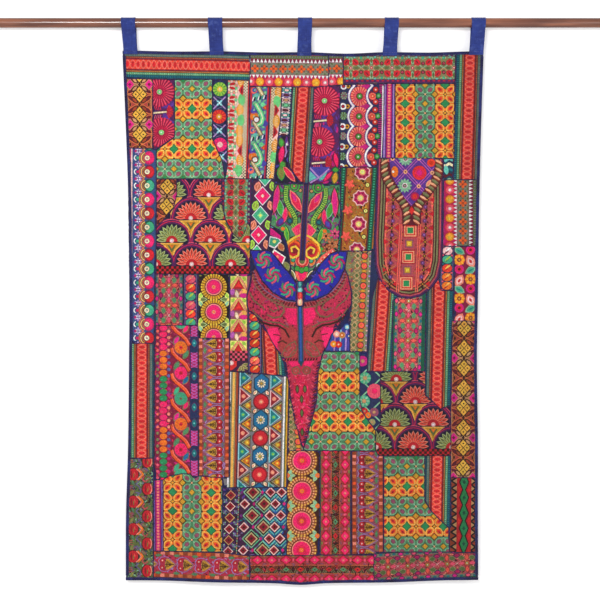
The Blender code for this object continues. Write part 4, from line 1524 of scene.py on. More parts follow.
def lotus_scrap(p):
    """A scrap of chequered cloth and one of a flower at the strip's lower end."""
    p.base = 5
    p.chequer(75.5, -9, 85.5, 9, 2.5, ("rose", "umber"))
    p.box(85.5, -11, 98, 11, "aubergine")
    p.shape([(85.8, 10), (85.8, 1.2), (91, 1.6), (94.6, 5.6), (96, 10)], "red", 2)
    p.rings(87.8, 6.8, 3, (2.5, "blush"), (1.3, "white"))
    for turn in (-100, -60, -20, 20):
        angle = math.radians(turn)
        spot = (90 + 4.4 * math.cos(angle), -3 + 4.4 * math.sin(angle))
        p.leaf(*spot, 4.2, 1.6, turn, "sand", "olive", 2, 0.7)


Bunch = namedtuple("Bunch", "bead shine left right disc heart near far")

# The vine's bunches: the beads and their shine, the dots at both sides, the flower, and the two leaves
BUNCHES = (
    Bunch("hot", "rose", "coral", "salmon", "orange", "red", "fern", "fern"),
    Bunch("orange", "vermilion", "drab", "slate", "hot", "crimson", "azure", "jade"),
    Bunch("green", "jade", "rose", "magenta", "jade", "fern", "hot", "fuchsia"),
)


def vine_bunch(p, a, bunch):
    """A bend of the stem with its flower, its two leaves and the four beads beside it."""
    for i in range(4):
        at = a - 19.5 + 6.38 * i
        p.disc(at, -12.0, 3.1, bunch.bead, 3, 4.0, 12)
        p.lens(at + 0.8, -13.4, 1.4, 0.7, 90, bunch.shine, 4)
        p.rings(at + 3.2, -17.8, 2, (1.6, bunch.left))
        p.rings(at + 3.2, -6.6, 2, (1.8, bunch.right))
    p.leaf(a + 7, 10.6, 5.6, 2.9, -34, "drab", bunch.near, 3, 0.7)
    p.leaf(a + 18, 1.2, 5.6, 2.9, -31, "drab", bunch.far, 3, 0.7)
    bend = ((1, -3.4), (5.5, -2.2), (9.5, 1.4), (13, 6.2), (17, 10.6), (23, 14.0))
    stem = [(a + at, b) for at, b in bend]
    p.stroke(stem, 4.6, "garnet", 5)
    p.stroke(stem, 3.5, "vermilion", 6)
    p.stroke([(at - 0.8, b + 0.7) for at, b in stem], 1.2, "coral", 7)
    p.rings(a, 5.6, 3, (7.4, "mauve"), (6.6, bunch.disc), (2.2, bunch.heart), (1.0, "wine"))
    p.petals(a, 5.6, 4.4, 1.4, 0.35, 9, bunch.heart, 5, 10)


def vine_edge(p):
    """The ovals and the netted squares on the dark edge."""
    for a in (18, 51, 82, 98, 128):
        p.leaf(a, 19.0, 5.4, 3.4, 0, "plum", "teal", 2, 0.6)
        p.disc(a, 19.0, 1.2, "sea", 4, sides=6)
    for a in (4, 35, 66, 113, 143):
        p.box(a - 7.5, 15.6, a + 7.5, 22.4, "cerise", 2)
        for step in range(-2, 3):
            for low, high in ((15.8, 22.2), (22.2, 15.8)):
                p.stroke([(a + 3 * step - 1.5, low), (a + 3 * step + 1.5, high)], 0.8, "orchid", 3)


def vine(p, first=22.5, pitch=25.5):
    """A row of beads, a thick winding stem with a round flower in each bend, and ovals on a netted strip."""
    p.band(14.6, 24, "night")
    p.flecks(("magenta", "rosewood", "purple", "cerise", "mauve", "claret", "carmine"), 520, 2.4, 0.9,
             (-4, 158), (-20, 14.4))
    for k, a in p.counted(pitch, first):
        vine_bunch(p, a, BUNCHES[k % 3])
    vine_edge(p)


# Half of a heart that points along a, and half of the leaf in it
HEART = ((1.0, 0), (0.55, 0.42), (0.1, 0.88), (-0.35, 1.0), (-0.78, 0.86), (-1.0, 0.45), (-0.88, 0))
HEART_LEAF = ((0.84, 0), (0.5, 0.36), (0.12, 0.70), (-0.14, 0.72), (-0.28, 0.38), (-0.3, 0))


def heart(p, a, b, turn, long, wide, fill):
    """A heart with a veined golden leaf towards its point and a berry in each lobe."""
    for outline, grow, colour, layer in (
        (HEART, 1.0, "lilac", 2), (HEART, 0.92, fill, 3), (HEART_LEAF, 1.0, "tan", 4),
        (HEART_LEAF, 0.84, "mustard", 5),
    ):
        half = [(x * long * grow, y * wide * grow) for x, y in outline]
        p.shape(spun(half + mirrored(half[-2:0:-1], -1), a, b, turn), colour, layer)
    p.stroke(spun([(0.70 * long, 0), (-0.24 * long, 0)], a, b, turn), 0.8, "umber", 7)
    for side in (-1, 1):
        for k in range(4):
            x = (0.42 - 0.17 * k) * long
            vein = [(x, 0), (x - 0.15 * long, side * (0.2 + 0.11 * k) * wide)]
            p.stroke(spun(vein, a, b, turn), 0.8, "umber", 6)
        berry = spun([(-0.56 * long, side * 0.46 * wide)], a, b, turn)[0]
        p.rings(*berry, 4, (2.4, "crimson"), (1.0, "blush"))


def leaf_drops(p, first, pitch, point=1, along=False, edge=11.2):
    """A row of hearts across the strip or along it, with small leaves between and blocked edges."""
    p.bands(1, (edge, edge + 4.0, "rust"), (edge + 4.0, edge + 6, "aubergine"))
    p.flecks(("brick", "lilac", "maroon", "drab", "rosewood"), 420, 1.7, 0.7, (-4, 142), (-edge, edge))
    for i, a in p.counted(pitch, first):
        for side in (-1, 1):
            for k in (0, 1):
                start = a + pitch * (k / 2 + 0.1)
                tone = ("salmon", "clay", "vermilion")[(i + k) % 3]
                p.box(start, side * (edge + 0.2), start + pitch * 0.25, side * (edge + 3.8), tone, 2)
            fill = "fern" if along or side == point else "dusk"
            p.leaf(a + pitch / 2, side * 8.8, 3.8, 1.8, 0, "drab", fill, 3, 0.6)
        if along:
            heart(p, a, 0, 0, 9.4, 8.0, "claret")
        else:
            heart(p, a, 0, 90 * point, 10.4, 6.5, "garnet")
            p.lens(a + pitch / 2, point * 3.8, 1.7, 2.6, 0, "ember", 3)


# A triangle's rim, field, heart and core: the pink ones, then the teal ones
TRIANGLES = (("blush", "garnet", "salmon", "peach"), ("sky", "teal", "jade", "lime"))


def geometric_triangles(p, a, base, apex, is_teal):
    """A triangle on its base at a, and the one that points down beside it."""
    rim, fill, heart, core = TRIANGLES[is_teal]
    far_rim, far = ("mustard", "orange") if is_teal else ("khaki", "mustard")
    p.shape([(a - 9.0, base - 0.6), (a + 9.0, base - 0.6), (a, apex)], rim, 2)
    p.shape([(a - 7.7, base + 0.4), (a + 7.7, base + 0.4), (a, apex - 1.5)], fill, 3)
    p.rings(a, base + 3.6, 4, (2.3, heart), (1.2, core))
    a += 9.2
    p.shape([(a - 7.4, apex + 1.0), (a + 7.4, apex + 1.0), (a, base + 0.8)], "umber", 2)
    p.shape([(a - 6.4, apex + 0.7), (a + 6.4, apex + 0.7), (a, base + 2.2)], far_rim, 3)
    p.shape([(a - 4.6, apex + 0.4), (a + 4.6, apex + 0.4), (a, base + 4.2)], "rust", 4)
    p.rings(a, apex - 2.4, 5, (2.6, far), (1.3, "gold"))


def geometric_medallion(p, a):
    """A blue hexagon with a flower in it."""
    for point, corner, half, colour, layer in ((11, 5, 7.6, "petrol", 4), (9.8, 4.6, 6.7, "azure", 5)):
        p.shape([(a - point, 0), (a - corner, half), (a + corner, half), (a + point, 0),
                 (a + corner, -half), (a - corner, -half)], colour, layer)
    p.petals(a, 0, 3.1, 1.7, 0.9, 10, "cream", 6)
    p.rings(a, 0, 7, (2.3, "khaki"), (1.2, "mustard"))


def geometric(p):
    """Columns of triangles beside a column of discs, between striped edges. It leans left as it goes down."""
    for b0, b1, colour in (
        (-32, -30.4, "white"), (-30.4, -28.8, "stone"), (-28.8, -26.4, "apricot"), (-26.4, -25.4, "khaki"),
        (-25.4, -23.2, "rust"), (-23.2, -22.2, "aubergine"), (22.4, 24.0, "white"), (24.0, 25.2, "moss"),
        (25.2, 26.8, "mustard"), (26.8, 29.6, "aubergine"),
    ):
        p.band(b0, b1, colour, 2)
    p.flecks(("stone", "moss", "mauve", "khaki", "olive"), 260, 2.2, 0.8, (-2, 118), (-21, 22))
    for k in range(7):
        geometric_triangles(p, 6.0 + 18.4 * k, -21.2, -10.6, k % 2 == 0)
        geometric_triangles(p, 8.0 + 18.4 * k, 9.4, 20.0, k % 2 == 0)
    for k in range(7):
        a = 11.4 + 18.2 * k
        for side in (-1, 1):
            p.leaf(a + 9.2, side * 6.0, 3.6, 2.4, 35 * side, "umber", "cream", 3, 0.5)
            p.lens(a + 9.4, side * 6.4, 1.9, 0.8, 35 * side, "salmon", 5)
        if k % 2 == 0:
            geometric_medallion(p, a)
        else:
            p.rings(a, 0, 5, (8.2, "garnet"), (7.0, "crimson"), (2.8, "coral"), (1.6, "peach"))


def cross_lines(p):
    """Crossed green lines with discs on and between them."""
    for v in (367, 389, 412, 434):
        p.stroke([(358, v - 12), (382, v + 11)], 1.3, "sage", 2)
        p.stroke([(358, v + 11), (382, v - 12)], 1.3, "sage", 2)
    for u, v, colour, r in (
        (365, 378, "jade", 6), (364, 401, "jade", 6), (374.5, 391, "rose", 7.6),
        (364.5, 411, "crimson", 3.4), (368, 415, "orange", 3.2), (362.5, 361, "magenta", 5.4),
        (374, 412, "mauve", 4.6), (372, 422, "khaki", 3.4),
    ):
        p.disc(u, v, r, colour, 3, sides=14)
        if colour == "jade":
            p.petals(u, v, r * 0.62, 2.4, 1.2, 7, "sage", 4)
        p.disc(u, v, r * 0.38, "hot" if colour == "rose" else "tan", 5, sides=8)


def scroll_border(p, first=16.5, pitch=27.4):
    """Red half flowers by turns at either side of a curling stem, on grey-green cloth."""
    p.flecks(("olive", "mauve", "sage", "bottle", "ink", "umber", "dusk", "moss"), 760, 2.3, 0.7,
             (-4, 124), (-13, 13))
    for a in p.repeat(pitch, first):
        p.disc(a, -7.4, 6.9, "maroon", 2, 5.9, 14)
        p.disc(a, -7.6, 6.2, "crimson", 3, 5.3, 14)
        for across, width, colour in ((3.4, 1.1, "salmon"), (5.0, 1.5, "orange")):
            tip = across - 4.4
            bow = ((-5.4, tip - 3.2), (-2.6, tip), (0, tip + 1.8), (2.6, tip), (5.4, tip - 3.2))
            p.stroke([(a + at, b) for at, b in bow], width, colour, 4)
        p.disc(a - 12.9, 6.4, 7.0, "maroon", 2, 5.7, 14)
        p.disc(a - 12.9, 6.6, 6.2, "crimson", 3, 5.0, 14)
        p.stroke([(a - 17.6, 9.6), (a - 15, 10.8), (a - 11, 10.8), (a - 8.4, 9.6)], 1.2, "salmon", 4)
        for at, b in ((a, -8.6), (a - 12.9, 5.4)):
            p.lens(at, b - 0.6, 4.2, 0.9, 0, "garnet", 4)
            p.lens(at + 1.0, b + 1.6, 2.6, 0.5, 0, "olive", 5)
            p.lens(at - 1.2, b + 2.8, 2.4, 0.6, 12, "ember", 5)
        stem = ((6.6, -3.4), (9.8, 0.4), (14.6, -1.2), (18, -4.6), (20.6, -2.0))
        p.stroke([(a - at, b) for at, b in stem], 1.2, "dusk", 4)
        p.stroke([(a + 1.6, 3.6), (a + 4.6, 1.6), (a + 7.4, 4.2), (a + 5.2, 7.2)], 1.2, "rosewood", 4)
        for at, b, turn, rim, fill in (
            (-6.0, 8.0, 30, "bottle", "olive"), (6.4, 7.8, -30, "drab", "moss"),
            (-19.6, -7.8, 20, "moss", "fern"), (-9.4, -8.6, -30, "drab", "olive"),
            (-4.0, 3.0, 60, "mauve", "drab"),
        ):
            p.leaf(a + at, b, 3.8, 1.7, turn, rim, fill, 2, 0.6)
        for k in range(3):
            p.stroke([(a + 11.2 + 2.0 * k, -11.4), (a + 11.2 + 2.0 * k, -8.2)], 0.8, "rosewood", 4)


def ikat_column(p):
    """The narrow column of stepped diamonds, with crossed leaves between them."""
    for k in range(6):
        u, v = 231 - 0.55 * k, 494.8 + 11.2 * k
        p.diamonds(u, v, 2, (6.2, 6.2, "black"), (5.4, 5.4, "blush" if k % 2 else "tan"),
                   (4.2, 4.2, "garnet"), (1.3, 1.3, "umber"))
        for side in (-1, 1):
            p.lens(u + side * 5.4, v + 5.6, 2.6, 1.1, 50 * side, "sage", 2)
            p.lens(u + side * 5.4, v + 5.6, 2.6, 1.1, -50 * side, "dusk", 3)


def ikat_chevrons(p, u, v):
    """The pale lines under a diamond on the blue."""
    for side in (-1, 1):
        for off, colour in ((0.7, "sea"), (1.7, "azure"), (2.7, "sage")):
            corner = u + side * off
            p.stroke([(corner + side * 5.4, v + 1.4 + off), (corner, v + 6.8 + off)], 0.9, colour, 2)


def ikat_row(p, v, is_even, lean):
    """A row with one large diamond, two middling ones and two small ones, moved left by its lean."""
    big = (253.0 if is_even else 264.6) - lean
    p.diamonds(big, v, 2, (9.8, 9.8, "sage"), (8.4, 8.4, "black"), (6.8, 6.8, "sand"), (5.0, 5.0, "garnet"))
    p.diamonds(big, v, 6, (1.8, 1.8, "umber"))
    for side in (-1, 1):
        for near, far in ((-6.4, -9.0), (6.4, 9.0)):
            line = [(big + side * 7.4, v + near), (big + side * 4.6, v + far)]
            p.stroke(line, 0.9, ("jade", "dusk")[is_even], 3)
    for u in (270.6, 281.6) if is_even else (245.2, 275.8):
        p.diamonds(u - lean, v, 3, (6.4, 6.4, "black"), (5.5, 5.5, "blush"), (3.9, 3.9, "garnet"),
                   (1.4, 1.4, "umber"))
        if u > 265:
            ikat_chevrons(p, u - lean, v)
    for u in (242.2, 262.4) if is_even else (254.6, 284.6):
        p.diamonds(u - lean, v, 5, (1.8, 2.2, "magenta" if u > 250 else "purple"))


def ikat(p):
    """Stepped diamonds in rows, violet at one side and blue at the other, beside a narrow column of them."""
    p.flecks(("purple", "aubergine", "black", "violet", "dusk", "teal"), 220, 2.6, 1.0, (222, 262),
             (485, 557))
    p.flecks(("blue", "azure", "petrol", "denim"), 260, 3.4, 1.8, (264, 288), (485, 557))
    p.ticks([(239.4, 484), (238, 520), (236.4, 556)], 2.4, 1.3, 0.5, ("tan", "sage"), 4, 0)
    ikat_column(p)
    for k in range(6):
        ikat_row(p, 492 + 11.6 * k, k % 2 == 0, 0.4 * k)


def big_circles(p, centres):
    """Pink discs in beaded rings, with half flowers at both edges between them."""
    for u, v in centres:
        for side in (-1, 1):
            flower = u + 0.6 + side * 14.0
            for turn in (-62, 0, 62):
                angle = math.radians(90 - side * 90 + turn + 180)
                spot = (flower + 3.2 * math.cos(angle), v + 14.8 + 3.2 * math.sin(angle))
                p.leaf(*spot, 3.9, 2.3, math.degrees(angle), "celery", "sage", 6, 0.8)
            p.rings(flower + side, v + 14.8, 8, (2.6, "orange"), (1.3, "coral"))
        p.rings(u, v, 3, (15.8, "brown"), (15.2, "copper"))
        p.rays(u, v, 10.2, 15.0, 28, "brown", 5, 0.22)
        for i in range(28):
            t = math.tau * i / 28
            for reach, r, colour in ((14.0, 1.1, "apricot"), (11.7, 0.9, "peach")):
                p.disc(u + reach * math.cos(t), v + reach * math.sin(t), r, colour, 6, sides=6)
        p.rings(u, v, 7, (10.5, "umber"), (9.9, "salmon"), (8.9, "hot"), (5.0, "carmine"), (2.4, "orange"),
                (1.0, "coral"))


def twin_diamonds(p, first, pitch=14.3):
    """Two rows of bright diamonds, and a strip of chevrons and small diamonds between them."""
    p.bands(1, (0, 3.8, "umber"), (3.8, 4.9, "copper"), (4.9, 14.4, "brick"), (14.4, 16, "moss"))
    p.flecks(("brick", "mauve", "crimson", "rosewood", "maroon"), 380, 1.7, 0.7, (-4, 128), (-14, 14), 2)
    for i, a in p.counted(pitch, first):
        for side in (-1, 1):
            b = side * 9.5
            p.diamonds(a, b, 3, (7.2, 4.8, "maroon"), (6.4, 4.8, "crimson"), (5.0, 4.1, "hot"),
                       (2.4, 2.1, "rose"))
            p.rings(a, b, 7, (1.1, "salmon"))
            p.rings(a + pitch / 2, b, 3, (1.7, "rose"))
            for other in (-1, 1):
                p.lens(a + pitch / 2, b + other * 3.9, 2.2, 0.9, 0, "olive" if other == side else "mauve", 3)
        p.diamonds(a, 0, 4, (4.6, 3.3, "brown"), (3.6, 2.5, ("fern", "crimson")[i % 2]),
                   (1.2, 0.9, "umber"))
        middle = a + pitch / 2
        for at in (-5.8, -4.2, -2.6):
            for side in (-1, 1):
                for far, colour in ((3.4, "drab"), (-3.4, "rust")):
                    p.stroke([(middle + side * at, 0), (middle + side * (at + 1.8), far)], 0.6, colour, 3)


def green_chain(p, first=4.6, pitch=15.4):
    """A green chain with a black edge on red cloth, between edges of tan cloth with black zigzags."""
    for far in (13.6, -12.6):
        near = math.copysign(7.0, far)
        p.band(near, far, "rust")
        for a in p.repeat(7.3):
            p.shape([(a + 0.6, near), (a + 6.7, near), (a + 3.65, far * 0.9)], "tan", 2)
            p.stroke([(a, near), (a + 3.65, far * 0.93), (a + 7.3, near)], 1.7, "black", 3)
    p.band(-7.2, 7.2, "crimson", 4)
    link = ((-8.0, 0.8), (-4.4, 2.3), (0, 4.0), (4.4, 2.3), (8.0, 0.8))
    for a in p.repeat(pitch, first):
        for wider, colour, layer in ((1.2, "black", 5), (0.0, "green", 6)):
            half = [(a + at, b + wider) for at, b in link]
            p.shape(half + mirrored(half[::-1], -1), colour, layer)
        p.diamonds(a, 0, 7, (2.4, 1.7, "bottle"))
        for side in (-1, 1):
            p.lens(a + pitch / 2, side * 5.2, 4.4, 1.4, 0, "red", 5)


def paisley_strip(p):
    """A narrow strip of leaves of changing colour."""
    p.flecks(("purple", "indigo", "maroon", "bottle"), 50, 3.0, 1.4, (272, 304), (136, 190))
    for u, v, long, wide, turn, rim, fill in (
        (281.5, 143, 6.0, 3.2, 80, "moss", "leaf"), (281.5, 154.5, 10.5, 3.8, 98, "wine", "hot"),
        (282.5, 164.5, 4.6, 3.6, 60, "moss", "leaf"), (281, 173.5, 7.6, 4.2, 84, "leaf", "olive"),
        (289, 174, 10.5, 3.4, 52, "salmon", "carmine"), (286.5, 141, 5.4, 1.6, 95, "purple", "indigo"),
    ):
        p.leaf(u, v, long, wide, turn, rim, fill)
    p.stroke([(287.5, 142), (285.6, 147), (286.5, 152), (285, 157)], 1.3, "lilac", 4)
    p.disc(287, 144.5, 1.3, "white", 5, sides=7)


def fan_corner(p):
    """The scraps under the lower fan."""
    p.shape([(310, 167), (330, 167), (324, 176), (318, 180), (309, 181)], "indigo", 5)
    p.shape([(309, 170), (317, 178), (309, 182)], "sea", 6)
    p.shape([(318, 178), (327, 171), (326, 178), (320, 181)], "sea", 6)
    for line in ([(310, 183), (319, 178), (329, 169)], [(310, 168), (319, 178)]):
        p.stroke(line, 1.6, "lilac", 7)
    for u, v, long, wide, turn, rim, fill in (
        (336, 160, 9, 3.2, 80, "wine", "hot"), (328, 176.5, 8, 3.0, -48, "wine", "hot"),
        (335.5, 170, 4.6, 3.4, 0, "bottle", "leaf"), (335, 178, 7.4, 3.8, 100, "moss", "mustard"),
    ):
        p.leaf(u, v, long, wide, turn, rim, fill, 6)


# The layout

# Lines past the panel's edges: a patch that reaches them ends under the binding
LEFT, RIGHT, TOP, BOTTOM = 100, 500, 30, 600

# Each leaf's place along a vine, how far it sways across, and its colour
LEAVES = (
    (0.5, 0.4, "amber"), (10.5, 0, "crimson"), (20.0, -0.8, "spring"), (30.5, 0.6, "amber"),
    (40.5, -0.4, "spring"), (51.0, 0.6, "amber"), (60.5, 0.2, "amber"), (71.0, 0, "crimson"),
    (80.5, -0.6, "amber"), (90.0, 0.4, "spring"),
)
NARROW_LEAVES = (
    (4.0, 0.4, "amber"), (13.5, -0.4, "spring"), (22.5, 0, "crimson"), (33.5, 0.2, "amber"),
    (44.0, 0, "crimson"), (58.0, 0.2, "amber"), (69.5, -0.2, "spring"), (80.0, 0.2, "amber"),
    (90.0, 0, "amber"),
)

# Each round flower's place and colours, from its rim to its heart
FLOWERS = (
    (220, 89.5, "lime", "leaf", "gold"), (219.2, 117, "scarlet", "crimson", "amber"),
    (220.2, 145, "hot", "magenta", "blush"),
)

# The two colours of each bead
BEADS = (("sea", "blush"), ("lilac", "maroon"), ("blush", "tan"), ("sage", "mint"), ("blush", "maroon"))

# The lotuses' rows from the top down: how far down a row is, and where each flower is and whether it is red
LEFT_LOTUSES = (
    (195, ((171, False), (209, True))),
    (218, ((191, True), (229, False))),
    (240.5, ((172, False), (210.5, True), (248, False))),
    (264, ((156, False), (192, True), (231, False), (269, False))),
)
RIGHT_LOTUSES = (
    (379, ((396, False), (434, True))),
    (401.5, ((377, False), (415, True))),
    (424, ((358, True), (394.5, False), (433, True))),
    (446.6, ((376, False), (413, True), (451, False))),
)

# Each large diamond's place, and the colours of its field and its middle
DIAMONDS = (
    (265, 177, "jade", "mint"), (262.7, 196, "hot", "blush"), (260.4, 215.5, "jade", "lemon"),
    (258.6, 235, "hot", "blush"), (257, 254.4, "jade", "sea"),
)

# A patch: its name and ground colour, the function of its trim, its outline, the two ends of the line along
# which the trim runs (without them the trim keeps the layout's own places), and the trim's settings
Piece = namedtuple("Piece", "name ground trim outline axis settings", defaults=(None, {}))

